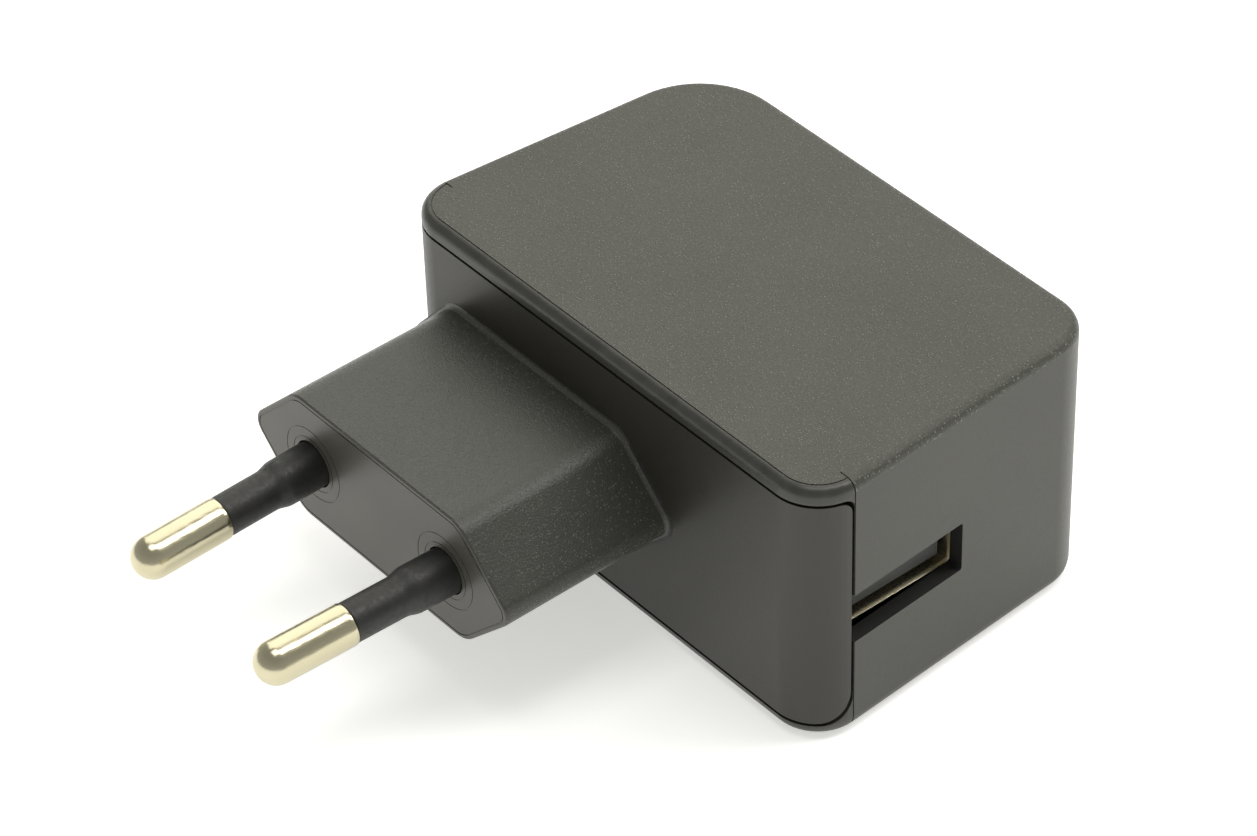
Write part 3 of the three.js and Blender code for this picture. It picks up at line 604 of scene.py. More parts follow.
# ABS and polycarbonate blend, spark-eroded tool: a warm dark grey, lightened by pits painted pale as painted
# glints
TEXTURED_SHELL = SparkErodedPlastic(
    "abs_spark_eroded_grey", "#41423a", "#3c3d35", 0.42, grain=0.2, relief=0.07, patch=9, gloss_spread=0.3,
    fleck=0.24, glint_paint_colour="#8d8f83", fleck_share=0.6,
)
# The same plastic off the smooth side of the tool: satin, with a faint drag along the draft
SATIN_SHELL = Finish("abs_satin_grey", "#34342c", "#2f2f28", 0.4, grain=0.22, relief=0.012, patch=12)
# The narrow strip ahead of the parting line, a little glossier where the tool halves met
PARTING_STRIP = Finish(
    "abs_parting_strip_grey", "#2f2f2b", "#393934", 0.34, grain=0.5, relief=0.02, patch=2
)
# The front moulding, one shade darker
SMOOTH_COVER = Finish(
    "polycarbonate_smooth_charcoal", "#2b2a24", "#272620", 0.42, grain=0.2, relief=0.01, patch=14
)
# The plug nose, finely blasted, so that its rounded corners carry a soft broken highlight. Its pits are
# painted pale as painted glints.
BLASTED_NOSE = SparkErodedPlastic(
    "polycarbonate_blasted_charcoal", "#3a3b35", "#363731", 0.36, grain=0.18, relief=0.045, patch=8,
    gloss_spread=0.2, fleck=0.2, glint_paint_colour="#6f7168", fleck_share=0.4,
)
# The nose's end, off a ground tool face
NOSE_END = Finish("polycarbonate_ground_grey", "#484740", "#44433c", 0.4, grain=0.1, relief=0.003, patch=6)
# The inside of both mouldings and the walls of the receptacle's mouth, painted near black as painted shade
INSIDE_PAINTED_SHADE = Finish("abs_inside_painted_shade", "#1b1b1a", "#20201f", 0.55, grain=0.3, relief=0.01)
# Black polyamide overmoulded on the pins, dull, with slight flow marks
PIN_SLEEVE = Finish(
    "polyamide_sleeve_black", "#191917", "#20201e", 0.48, grain=0.35, relief=0.02, patch=1.6,
    gloss_spread=0.2,
)
# Nickel on turned brass: warm and bright, drawn lengthwise, with a few fine pits
NICKEL_PIN = Finish(
    "nickel_plated_brass", "#cdc7ac", "#c1ba9d", 0.2, metallic=1.0, grain=0.14, relief=0.008, patch=3,
    gloss_spread=0.08, stretch=(1.0, 0.15, 1.0),
)
# Tinned steel sheet, rolled
TINNED_SHEET = Finish(
    "tinned_steel_sheet", "#eee6cd", "#e2dac0", 0.3, metallic=1.0, grain=0.15, relief=0.002, patch=3
)
# Filled thermoplastic of the receptacle's tongue
TONGUE = Finish("lcp_tongue_grey", "#4a4b49", "#545552", 0.55, grain=0.18, relief=0.02, patch=1.5)
# Gold flash on phosphor bronze
GOLD_SPRING = Finish(
    "gold_flashed_bronze", "#d6ae5c", "#c39a4c", 0.24, metallic=1.0, grain=0.1, relief=0.002, patch=2
)
FERRITE = Finish("sintered_ferrite", "#2c2b2b", "#3a3836", 0.62, grain=0.18, relief=0.02, patch=2)
BOBBIN = Finish("phenolic_bobbin_black", "#1a1b1c", "#232425", 0.45, grain=0.3, relief=0.01)
# the second colour, #6e3516, is painted shade in the valleys between turns
WOUND_COPPER_PAINTED_SHADE = WoundWire("enamelled_copper_wire", "#c4763a", "#6e3516", 0.3, metallic=1.0, relief=0.12)
POLYESTER_TAPE = Finish("polyester_tape_yellow", "#d6ab1d", "#c4970f", 0.3, grain=1.2, relief=0.03, patch=4)
LAMINATE = WovenLaminate("glass_epoxy_green_mask", "#143823", "#102d1c", 0.35, relief=0.02, patch=5)
CAN_SLEEVE = Finish("pvc_can_sleeve_navy", "#1d2c4c", "#22345a", 0.32, grain=1.5, relief=0.02, patch=5)
CHOKE_SLEEVE = Finish("heat_shrink_black", "#191a1b", "#242526", 0.42, grain=0.6, relief=0.04, patch=3)
FUSE_COAT = Finish("flameproof_enamel_green", "#477a55", "#3d6d4a", 0.45, grain=0.25, relief=0.03, patch=2)
DISC_COAT = Finish("dipped_epoxy_blue", "#235f9f", "#1f548d", 0.36, grain=0.5, relief=0.04, patch=3)
BARRIER_FILM = Finish("aramid_paper_buff", "#d3ccb2", "#c6bea2", 0.5, grain=0.25, relief=0.02, patch=3)
CHIP_EPOXY = Finish("moulded_chip_epoxy", "#1d1e20", "#26272a", 0.5, grain=0.12, relief=0.01, patch=2)
CHIP_CERAMIC = Finish("chip_ceramic_tan", "#a5845f", "#8f7150", 0.42, grain=0.15, relief=0.01, patch=1)


def finished(piece: Piece, slot: str, nodes: Sequence[str], *finishes: Finish) -> Piece:
    """Gives a new piece its materials and its body, and hides the CAD nodes that it stands for.

    Args:
        piece: the piece.
        slot: not used.
        nodes: the CAD nodes.
        finishes: one for each material slot of the mesh.

    Returns:
        The piece.
    """
    piece.data.materials.clear()
    for finish in finishes:
        piece.data.materials.append(finish.make())
    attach(piece, BODY)
    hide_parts(*nodes)
    log.info("%s: %d faces", piece.name, len(piece.data.polygons))
    return piece


def sort_faces(piece: Piece, rule: Callable[[Array, Array], Array]) -> None:
    """Chooses each face's material from where it is and which way it faces.

    Args:
        piece: the piece.
        rule: from face centres in millimetres and face normals to material numbers.
    """
    count = len(piece.data.polygons)
    centre = np.empty(count * 3)
    normal = np.empty(count * 3)
    piece.data.polygons.foreach_get("center", centre)
    piece.data.polygons.foreach_get("normal", normal)
    chosen = rule(centre.reshape(-1, 3) / MM, normal.reshape(-1, 3))
    piece.data.polygons.foreach_set("material_index", chosen.astype(np.int32))


# ---------------------------------------------------------------- housing
@dataclass
class BodyForm:
    """The outer form that the two mouldings share, before they are parted."""

    width: float = 55.2
    height: float = 28.0
    plain_draft: float = 0.091
    socket_draft: float = 0.055
    front_radius: float = 4.6
    rear_plain_radius: float = 8.4
    rear_socket_radius: float = 4.8
    top_round: float = 1.0
    bottom_round: float = 1.6
    wall: float = 1.5
    seam_offset: float = 4.6
    seam_radius_top: float = 1.2
    seam_radius_bottom: float = 3.0
    gap: float = 0.3
    corner_steps: int = 14
    front: float = field(init=False)
    rear: float = field(init=False)

    def __post_init__(self) -> None:
        """Takes the front and rear from the CAD housing."""
        low, high = box_of("rear_housing")
        self.front, self.rear = float(low[1]), float(high[1])

    @property
    def seam(self) -> float:
        """Where the mouldings part on the sides."""
        return self.front + self.seam_offset

    def side(self, sign: int, y: float, inset: float) -> float:
        """Where a side face stands in X.

        Args:
            sign: 1 for the socket's side and -1 for the other.
            y: the place along Y.
            inset: how far inside the face.

        Returns:
            X in millimetres.
        """
        draft = self.socket_draft if sign > 0 else self.plain_draft
        return sign * (self.width / 2 - draft * (y - self.front) - inset * math.hypot(1, draft))

    def plan(self, inset: float) -> Array:
        """The outline seen from above, inside a skin of the given thickness.

        Args:
            inset: how far inside the surface, in millimetres.

        Returns:
            Points (x, y), one row each.
        """
        front, rear = self.front + inset, self.rear - inset
        corners = [
            [self.side(-1, front, inset), front],
            [self.side(1, front, inset), front],
            [self.side(1, rear, inset), rear],
            [self.side(-1, rear, inset), rear],
        ]
        radii = [self.front_radius, self.front_radius, self.rear_socket_radius, self.rear_plain_radius]
        return rounded_outline(corners, [max(radius - inset, 0.4) for radius in radii], self.corner_steps)

    def solid(self, name: str, skin: float = 0.0) -> Piece:
        """The whole form: its plan carried up a profile that rounds both edges with quarter circles.

        Args:
            name: the solid's name.
            skin: how far inside the true surface it lies.

        Returns:
            The object.
        """
        low = np.radians([0, 12, 24, 36, 48, 60, 70, 90])
        high = np.radians([0, 15, 30, 45, 60, 75, 90])
        inset = np.concatenate([self.bottom_round * (1 - np.sin(low)), self.top_round * (1 - np.cos(high))])
        below = self.bottom_round * (1 - np.cos(low)) + skin
        above = self.height - self.top_round * (1 - np.sin(high)) - skin
        levels = np.concatenate([below, above])
        rings = np.stack([np.column_stack([self.plan(i + skin), np.full_like(self.plan(0)[:, 0], z)])
                          for i, z in zip(inset, levels)])
        return lofted(name, rings)

    def hollow(self, name: str, inset: float, low: float, high: float) -> Piece:
        """The plan inside a skin, carried straight up from one level to another."""
        return prism(name, self.plan(inset), 2, low, high)

    def cover_space(self, name: str, gap: float) -> Piece:
        """The space of the front moulding, cut through from side to side, less a gap all round.

        Args:
            name: the solid's name.
            gap: left free all round, in millimetres.

        Returns:
            The solid.
        """
        ahead, back = self.front - 30, self.seam - gap
        low, high = self.wall + gap, self.height - self.wall - gap
        corners = [[ahead, low], [back, low], [back, high], [ahead, high]]
        radii = [0.01, self.seam_radius_bottom, self.seam_radius_top, 0.01]
        return prism(name, rounded_outline(corners, radii, 10), 0, -CUT, CUT)


@dataclass
class RearHousing:
    """The larger moulding: top, underside, rear and sides, with the receptacle's mouth in one side."""

    form: BodyForm
    edge: float = 0.12
    mouth_overlap: float = 0.22
    mouth_radius: float = 0.25
    skin_depth: float = 0.3  # faces further in than this belong to the inside
    line_inset: float = 0.95
    line_width: float = 0.12
    line_depth: float = 0.1
    line_end: float = 25.5  # the line down the sides starts this far from the middle

    def parting_line(self) -> list[Piece]:
        """Cutters for the fine line round the front of the top and down both sides at the seam.

        Returns:
            The cutters.
        """
        form = self.form
        top = form.height
        half = self.line_width / 2
        ring = form.hollow("line_outer", self.line_inset - half, top - self.line_depth, top + 1)
        core = form.hollow("line_inner", self.line_inset + half, top - 1, top + 2)
        front = brick("line_front", [-CUT, form.front - 1, top - 1], [CUT, form.seam, top + 2])
        combine(ring, Join.REMOVE, core)
        combine(ring, Join.KEEP, front)
        slab = brick("line_side", [-CUT, form.seam - half, -1], [CUT, form.seam + half, top + 1])
        combine(slab, Join.REMOVE, form.solid("line_core", self.line_depth))
        inner = self.line_end
        middle = brick("line_middle", [-inner, form.seam - 1, -2], [inner, form.seam + 1, top + 2])
        combine(slab, Join.REMOVE, middle)
        return [ring, slab]

    def mouth(self) -> Piece:
        """The cutter for the receptacle's mouth, open to the seam.

        Returns:
            The cutter.
        """
        low, high = box_of("usb_shell")
        base = high[2] - SHELL_HEIGHT + self.mouth_overlap
        return brick(
            "mouth",
            [high[0] - self.form.wall, self.form.seam - 1, base],
            [self.form.width, high[1] - self.mouth_overlap, high[2] - self.mouth_overlap],
            self.mouth_radius,
        )

    def build(self) -> Piece:
        """The moulding, cut from the outer form.

        Returns:
            The piece.
        """
        form = self.form
        piece = form.solid("housing_shell")
        combine(piece, Join.REMOVE, form.hollow("cavity", form.wall, form.wall, form.height - form.wall))
        combine(piece, Join.REMOVE, form.cover_space("cover_space", 0.0), self.mouth())
        soften(piece, self.edge)
        combine(piece, Join.REMOVE, *self.parting_line())
        shade(piece)
        looks = (TEXTURED_SHELL, SATIN_SHELL, PARTING_STRIP, INSIDE_PAINTED_SHADE)
        finished(piece, "housing_plastic", ["rear_housing"], *looks)
        sort_faces(piece, self.choose)
        return piece

    def choose(self, centre: Array, normal: Array) -> Array:
        """Textured top, satin sides, a glossier strip ahead of the line, and an inside painted dark as
        painted shade, the walls of the receptacle's mouth among it.

        Args:
            centre: face centres.
            normal: face normals.

        Returns:
            Material numbers.
        """
        form = self.form
        x, y, z = centre.T
        chosen = np.ones(len(centre))
        rim = form.height - form.top_round - 0.02
        chosen[z > rim] = 0
        ahead = (z > rim) & (y < form.seam) & self.outside_line(x, y)
        chosen[ahead] = 2
        side = np.where(x > 0, form.socket_draft, form.plain_draft)
        skin = form.width / 2 - side * (y - form.front) - np.abs(x)
        deep = self.skin_depth
        inner = (skin > deep) & (y > form.front + deep) & (y < form.rear - deep)
        inner &= (z > deep) & (z < form.height - deep)
        near_corner = (y > form.rear - form.rear_plain_radius) | (y < form.front + form.front_radius)
        outward = x * normal[:, 0] + (y - (form.front + form.rear) / 2) * normal[:, 1] > 0
        inner &= ~(near_corner & outward)
        # the inside, the walls of the mouth among it, gets the near-black material: painted shade
        chosen[inner & (z < form.height - form.wall + 0.1)] = 3
        return chosen

    def outside_line(self, x: Array, y: Array) -> Array:
        """Whether places lie between the parting line and the front edge.

        A place is tested against the straight front, or round each corner against the corner's own circle.

        Args:
            x: places along X in millimetres.
            y: places along Y in millimetres.

        Returns:
            True for each place that does.
        """
        form = self.form
        radius = form.front_radius
        centre_x = form.width / 2 - radius
        across = np.maximum(np.abs(x) - centre_x, 0)
        back = np.maximum(form.front + radius - y, 0)
        return np.hypot(across, back) > radius - self.line_inset


# ---------------------------------------------------------------- front cover and plug nose
@dataclass
class FrontCover:
    """The front moulding: the housing's face with the flat plug nose grown out of it."""

    form: BodyForm
    height: float = 13.4
    flat: float = 22.8
    corner: float = 3.0
    tip: float = 1.7
    depth: float = 17.8
    offset: float = -8.6
    level: float = 13.7
    root: float = 0.5
    step: float = 0.04
    end_edge: float = 0.22
    nose_wall: float = 1.8
    cover_wall: float = 2.0
    rim_wall: float = 1.2
    rim_reach: float = 1.5
    seat: float = 0.15
    face_wall: float = 4.0
    edge: float = 0.14
    pin_pitch: float = 18.4
    pin_hole: float = 2.3
    ring_radii: tuple[float, float] = (2.75, 3.7)
    ring_half: float = 0.04  # depth of a ring mark, and half of its width

    def nose_outline(self, inset: float) -> Array:
        """The flat six-sided section in (x, z), its flanks at 45 degrees, inside a skin.

        Args:
            inset: how far inside the surface, in millimetres.

        Returns:
            Points (x, z), one row each.
        """
        half_height = self.height / 2 - inset
        half_flat = self.flat / 2 - inset * (math.sqrt(2) - 1)
        reach = half_flat + half_height
        corners = np.array(
            [[half_flat, -half_height], [reach, 0], [half_flat, half_height],
             [-half_flat, half_height], [-reach, 0], [-half_flat, -half_height]]
        ) + [self.offset, self.level]
        corner, tip = max(self.corner - inset, 0.4), max(self.tip - inset, 0.4)
        return rounded_outline(corners, [corner, tip, corner, corner, tip, corner], 10)

    def nose_rings(self, stations: Sequence[Sequence[float]]) -> Array:
        """Rings of the nose's section at places along Y.

        A section larger than the nose, as in its root, fades out where the nose runs past the housing's
        rounded corner.

        Args:
            stations: pairs of Y and inset, from the housing forwards.

        Returns:
            The rings, ordered for outward faces.
        """
        rings = []
        plain = self.nose_outline(0.0)
        tip, corner = plain[:, 0].min(), self.form.front_radius - self.form.width / 2
        share = np.clip((plain[:, :1] - tip) / (corner - tip), 0, 1)
        for y, inset in stations:
            outline = self.nose_outline(inset)
            if inset < 0:
                outline = plain + (outline - plain) * share
            x, z = outline.T
            rings.append(np.column_stack([x, np.full_like(x, y), z]))
        return np.stack(rings)

    def nose(self) -> Piece:
        """The nose: it flares into the housing's face on a quarter circle and its end is rounded.

        Returns:
            The solid.
        """
        front = self.form.front
        end = front - self.depth
        turn = np.radians(np.linspace(0, 90, 9))
        flare = [[front + self.cover_wall, -self.root * 0.6], [front - self.step, -self.root * 0.985]]
        flare += [[front - self.step - y, x] for x, y in quarter(self.root, turn[1:], 0.0, 0.0)]
        rounding = [[end - y, x] for y, x in quarter(self.end_edge, turn[::2], 0.0, 0.0)]
        return lofted("nose", self.nose_rings(flare + rounding))

    def ring_mark(self, index: int, radius: float) -> Piece:
        """A cutter for a fine ring on the nose's end round one pin.

        Args:
            index: 0 for the pin at the lower X and 1 for the other.
            radius: of the ring in millimetres.

        Returns:
            The cutter.
        """
        end = self.form.front - self.depth
        fine, out = self.ring_half, 0.5
        profile = [[radius - fine, -fine], [radius + fine, -fine], [radius + fine, out], [radius - fine, out]]
        x = self.offset + (index - 0.5) * self.pin_pitch
        place = Matrix.Translation((x, end, self.level)) @ Matrix.Rotation(math.radians(90), 4, "X")
        return revolved("ring_mark", profile, 64, place, Ends.LOOPED)

    def end_line(self) -> Piece:
        """The cutter for the line just inside the edge of the nose's end.

        Returns:
            The cutter.
        """
        end = self.form.front - self.depth
        outer = self.nose_rings([[end + 0.08, 0.42], [end - 1, 0.42]])
        inner = self.nose_rings([[end + 1, 0.53], [end - 2, 0.53]])
        return combine(lofted("end_line", outer), Join.REMOVE, lofted("end_core", inner))

    def build(self) -> Piece:
        """The moulding.

        Returns:
            The piece.
        """
        form = self.form
        piece = form.solid("cover_shell")
        combine(piece, Join.KEEP, form.cover_space("cover_part", form.gap))
        skin = form.wall + form.gap
        rim = form.hollow("rim", skin, skin + self.seat, form.height - skin - self.seat)
        rim_end = brick("rim_end", [-CUT, form.front - 1, 0], [CUT, form.seam + self.rim_reach, form.height])
        combine(rim, Join.KEEP, rim_end)
        combine(piece, Join.ADD, rim, self.nose())
        deep = skin + self.rim_wall + self.seat
        inside = form.hollow("inside", skin + self.rim_wall, deep, form.height - deep)
        start = form.front + self.cover_wall
        inside_end = brick("inside_end", [-CUT, start, 0], [CUT, form.rear, form.height])
        combine(inside, Join.KEEP, inside_end)
        end = form.front - self.depth
        hollow = lofted(
            "nose_hollow",
            self.nose_rings(
                [[form.front + 2 * self.cover_wall, self.nose_wall], [end + self.face_wall, self.nose_wall]]
            ),
        )
        shell_low, shell_high = box_of("usb_shell")
        room = brick(
            "shell_room",
            [shell_low[0] - form.gap, shell_low[1] - form.gap, shell_high[2] - SHELL_HEIGHT - form.gap],
            [CUT, form.rear, shell_high[2] + form.gap],
        )
        combine(piece, Join.REMOVE, inside, hollow, room)
        for index in (0, 1):
            combine(piece, Join.REMOVE, self.pin_room(index))
        soften(piece, self.edge, 38)
        marks = [self.ring_mark(index, radius) for index in (0, 1) for radius in self.ring_radii]
        combine(piece, Join.REMOVE, self.end_line(), *marks)
        shade(piece)
        looks = (SMOOTH_COVER, BLASTED_NOSE, NOSE_END, INSIDE_PAINTED_SHADE)
        finished(piece, "cover_plastic", ["front_cover"], *looks)
        sort_faces(piece, self.choose)
        return piece

    def pin_room(self, index: int) -> Piece:
        """The hole that a sleeved pin fills.

        Args:
            index: 0 for the pin at the lower X and 1 for the other.

        Returns:
            The cutter.
        """
        profile = [[self.pin_hole, -1], [self.pin_hole, self.face_wall + 3]]
        end = self.form.front - self.depth
        x = self.offset + (index - 0.5) * self.pin_pitch
        place = Matrix.Translation((x, end, self.level)) @ Matrix.Rotation(math.radians(-90), 4, "X")
        return revolved("pin_room", profile, 48, place, Ends.FLAT)

    def choose(self, centre: Array, normal: Array) -> Array:
        """Smooth face, blasted nose, ground end, and an inside painted dark as painted shade.

        Args:
            centre: face centres.
            normal: face normals.

        Returns:
            Material numbers.
        """
        form = self.form
        x, y, z = centre.T
        end = form.front - self.depth
        chosen = np.zeros(len(centre))
        chosen[y < form.front - 0.02] = 1
        chosen[(y < end + 0.1) & (normal[:, 1] < -0.8)] = 2
        # the inside of the nose and cover gets the near-black material: painted shade
        nose_inside = (y > end + 0.5) & (y < form.front) & (np.abs(z - self.level) < self.height / 2 - 1)
        facing_in = (normal[:, 2] * (z - self.level) < 0) | (np.abs(normal[:, 1]) > 0.8)
        chosen[nose_inside & facing_in] = 3
        chosen[(y > form.front + 1.5) & (np.abs(x) < form.width / 2 - 1.6)] = 3
        return chosen


# ---------------------------------------------------------------- pins
@dataclass
class PlugPins:
    """The two round pins, leaning towards each other, bare at the tip and sleeved at the root."""

    form: BodyForm
    length: float = 19.5
    pitch_at_face: float = 18.4
    pitch_at_tip: float = 17.3
    bare: float = 9.2
    radius: float = 2.0
    neck: float = 1.3
    tail: float = 7.0
    slim: float = 1.875
    collar: float = 2.175
    collar_length: float = 3.6
    ease_length: float = 1.6
    seat: float = 3.8
    face: float = -16.2
    offset: float = -8.6
    level: float = 13.7
    steps: int = 72

    def place(self, index: int) -> Matrix:
        """Where a pin stands: local Z runs along it to the tip from the plug face.

        Args:
            index: 0 for the pin at the lower X and 1 for the other.

        Returns:
            Its matrix, in millimetres.
        """
        x = self.offset + (index - 0.5) * self.pitch_at_face
        lean = math.atan((self.pitch_at_face - self.pitch_at_tip) / 2 / self.length)
        tilt = Matrix.Rotation(lean if index == 0 else -lean, 4, "Z")
        forwards = Matrix.Rotation(math.radians(90), 4, "X")
        return Matrix.Translation((x, self.face, self.level)) @ tilt @ forwards

    def pin(self, index: int) -> Piece:
        """One pin: a neck inside the sleeve, a bare shank and a round tip.

        Args:
            index: 0 for the pin at the lower X and 1 for the other.

        Returns:
            The piece.
        """
        start = self.length - self.bare
        edge = 0.18
        tip = np.radians(np.linspace(0, 88, 22))
        middle = self.length - self.radius
        dome = [[self.radius * math.cos(a), middle + self.radius * math.sin(a)] for a in tip]
        profile = [[self.neck, -self.tail], [self.neck, start], [self.radius - edge, start]]
        profile += quarter(edge, tip[3::4], start, self.radius)
        profile += [[self.radius, start + 0.5], [self.radius, self.length - self.radius - 0.4], *dome]
        name = ("left", "right")[index]
        piece = revolved(f"plug_pin_{name}", profile, self.steps, self.place(index), Ends.FLAT)
        shade(piece)
        return finished(piece, "pin_metal", [f"pin_{name}"], NICKEL_PIN)

    def sleeve(self, index: int) -> Piece:
        """One sleeve: a collar that eases into a slim part, which stops short of the bare metal.

        Args:
            index: 0 for the pin at the lower X and 1 for the other.

        Returns:
            The piece.
        """
        bore = self.neck + 0.2
        end = self.length - self.bare - 0.02
        t = np.linspace(0, 1, 9)
        ease = self.collar + (self.slim - self.collar) * (3 * t**2 - 2 * t**3)
        outside = [[self.collar, -self.seat], [self.collar, self.collar_length - 0.2]]
        outside += [[radius, self.collar_length + self.ease_length * s] for radius, s in zip(ease, t)]
        outside += [[self.slim, end - 0.12], [self.slim - 0.03, end - 0.03], [self.slim - 0.12, end]]
        profile = [*outside, [bore, end], [bore, -self.seat]]
        name = ("left", "right")[index]
        piece = revolved(f"plug_sleeve_{name}", profile, self.steps, self.place(index), Ends.LOOPED)
        shade(piece)
        return finished(piece, "sleeve_plastic", [f"pin_sleeve_{name}"], PIN_SLEEVE)

    def strip(self, index: int) -> Piece:
        """One spring strip from a pin's tail down to the board.

        Args:
            index: 0 for the pin at the lower X and 1 for the other.

        Returns:
            The piece.
        """
        name = ("left", "right")[index]
        low, high = box_of(f"contact_strip_{name}")
        sheet, bend = 0.5, 1.2
        top, foot = high[2] - sheet / 2, high[1] - sheet / 2
        line = [[low[1] + 0.1, top - 0.7], [low[1] + bend, top], [foot, top], [foot, low[2]]]
        outline = bent_strip(line, sheet, bend)
        piece = prism(f"spring_strip_{name}", outline, 0, low[0], high[0])
        leg = brick("leg_room", [low[0] - 1, foot - 1, low[2] - 1], [low[0] + 1.2, foot + 1, 10.2])
        other = brick("leg_room", [high[0] - 1.2, foot - 1, low[2] - 1], [high[0] + 1, foot + 1, 10.2])
        combine(piece, Join.REMOVE, leg, other)
        soften(piece, 0.06)
        shade(piece)
        return finished(piece, "spring_metal", [f"contact_strip_{name}"], GOLD_SPRING)

    def build(self) -> None:
        """Both pins with their sleeves and strips."""
        for index in (0, 1):
            self.pin(index)
            self.sleeve(index)
            self.strip(index)


# ---------------------------------------------------------------- receptacle
@dataclass
class Receptacle:
    """The USB-A receptacle: folded shell, tongue and four sprung contacts."""

    sheet: float = 0.3
    fold: float = 0.55
    flare: float = 0.45
    height: float = SHELL_HEIGHT
    leg_width: float = 1.6
    leg_setbacks: tuple[float, float] = (4.0, 3.0)
    leaf_width: float = 2.2
    leaf_length: float = 5.5
    leaf_setback: float = 3.0
    slot: float = 0.35
    tongue_thickness: float = 1.84
    tongue_width: float = 11.1
    tongue_lift: float = 0.66
    channel_depth: float = 0.95
    channel_setback: float = 0.9
    contact_seat: float = 0.45
    contact_sheet: float = 0.25
    rear_depth: float = 3.6

    def __post_init__(self) -> None:
        """Takes the receptacle's box from the CAD shell."""
        self.low, self.high = box_of("usb_shell")
        self.base = self.high[2] - self.height
        self.middle = (self.low[1] + self.high[1]) / 2
        self.tongue_low = self.base + self.sheet + self.tongue_lift
        self.tongue_top = self.tongue_low + self.tongue_thickness

    def section(self, inset: float) -> Array:
        """The shell's section in (y, z), inside a skin.

        Args:
            inset: how far inside the surface, in millimetres.

        Returns:
            Points (y, z), one row each.
        """
        y0, y1, z0, z1 = self.low[1] + inset, self.high[1] - inset, self.base + inset, self.high[2] - inset
        radius = max(self.fold - inset, 0.15)
        return rounded_outline([[y0, z0], [y1, z0], [y1, z1], [y0, z1]], [radius] * 4, 6)

    def shell(self) -> Piece:
        """The folded shell with its legs and sprung leaves.

        Returns:
            The piece.
        """
        edge = 0.05
        rear, mouth = self.low[0], self.high[0]
        stations = [
            (rear, edge), (rear + edge, 0), (mouth - edge, 0), (mouth, edge),
            (mouth, edge + 0.03), (mouth - self.flare, self.sheet),
            (rear + edge, self.sheet), (rear, self.sheet - edge),
        ]
        rings = np.stack([np.column_stack([np.full(28, x), self.section(inset)]) for x, inset in stations])
        piece = lofted("receptacle_shell", rings, Ends.LOOPED)
        tip = mouth - self.leaf_setback
        half, reach = self.slot / 2, self.leaf_width / 2 + self.slot / 2
        quarter_width = (self.high[1] - self.low[1]) / 4
        for y in (self.middle - quarter_width, self.middle + quarter_width):
            for z0, z1 in ((self.base - 1, self.base + 0.6), (self.high[2] - 0.6, self.high[2] + 1)):
                across = brick("slot", [tip - self.slot, y - reach - half, z0], [tip, y + reach + half, z1])
                start = tip - self.leaf_length
                sides = [
                    brick("slot", [start, side - half, z0], [tip - 0.01, side + half, z1])
                    for side in (y - reach, y + reach)
                ]
                combine(piece, Join.REMOVE, across, *sides)
        legs = [(mouth - self.leg_setbacks[0]), (rear + self.leg_setbacks[1])]
        for x in legs:
            for y in (self.low[1] + self.sheet / 2, self.high[1] - self.sheet / 2):
                half_leg = self.leg_width / 2
                foot, top, toe = half_leg * 0.6, self.base + 1.2, self.low[2]
                corners = [[x - half_leg, top], [x - foot, toe], [x + foot, toe], [x + half_leg, top]]
                outline = rounded_outline(corners, [0.05, 0.3, 0.3, 0.05], 4)[:, ::-1]
                leg = prism("leg", outline, 1, y - self.sheet / 2 + 0.01, y + self.sheet / 2 - 0.01)
                combine(piece, Join.ADD, leg)
        shade(piece)
        return finished(piece, "shell_metal", ["usb_shell"], TINNED_SHEET)

    def tongue(self) -> Piece:
        """The insulator: a block at the rear and the tongue with a channel for each contact.

        Returns:
            The piece.
        """
        low, high = box_of("usb_insulator")
        bottom, top = self.tongue_low, self.tongue_top
        front = low[0] + self.rear_depth
        left = self.middle - self.tongue_width / 2
        rear = brick("receptacle_tongue", [low[0], low[1], low[2]], [front, high[1], high[2]], 0.2)
        blade = brick("blade", [front - 1, left, bottom], [high[0], left + self.tongue_width, top], 0.15)
        combine(rear, Join.ADD, blade)
        for index in range(4):
            near, far = box_of(f"usb_contact_{index + 1}")
            channel_low = [low[0] - 1, near[1] - 0.3, top - self.channel_depth]
            channel_high = [high[0] - self.channel_setback, far[1] + 0.3, top + 1]
            combine(rear, Join.REMOVE, brick("channel", channel_low, channel_high))
        notch_low = [high[0] - 0.5, left + 1.1, bottom + 0.45]
        notch_high = [high[0] + 1, left + 1.3, top - 0.4]
        combine(rear, Join.REMOVE, brick("notch", notch_low, notch_high))
        soften(rear, 0.12)
        shade(rear)
        return finished(rear, "insulator_plastic", ["usb_insulator"], TONGUE)

    def contact(self, index: int) -> Piece:
        """One contact: a tip that dips into its channel, a bow above the tongue, and a tail.

        Args:
            index: which contact, from 0 at the seam.

        Returns:
            The piece.
        """
        low, high = box_of(f"usb_contact_{index + 1}")
        level = self.tongue_top - self.contact_seat
        bow = self.tongue_top + self.contact_seat
        tip, tail = high[0], low[0] + self.contact_sheet / 2
        line = [[tip, level], [tip - 2, bow], [tip - 3, bow]]
        line += [[low[0] + 5.2, level], [tail, level], [tail, low[2]]]
        outline = bent_strip(line, self.contact_sheet, 0.5)[:, ::-1][::-1]
        piece = prism(f"sprung_contact_{index + 1}", outline, 1, low[1], high[1])
        soften(piece, 0.04)
        shade(piece)
        return finished(piece, "spring_metal", [f"usb_contact_{index + 1}"], GOLD_SPRING)

    def build(self) -> None:
        """All of the receptacle."""
        self.shell()
        self.tongue()
        for index in range(4):
            self.contact(index)


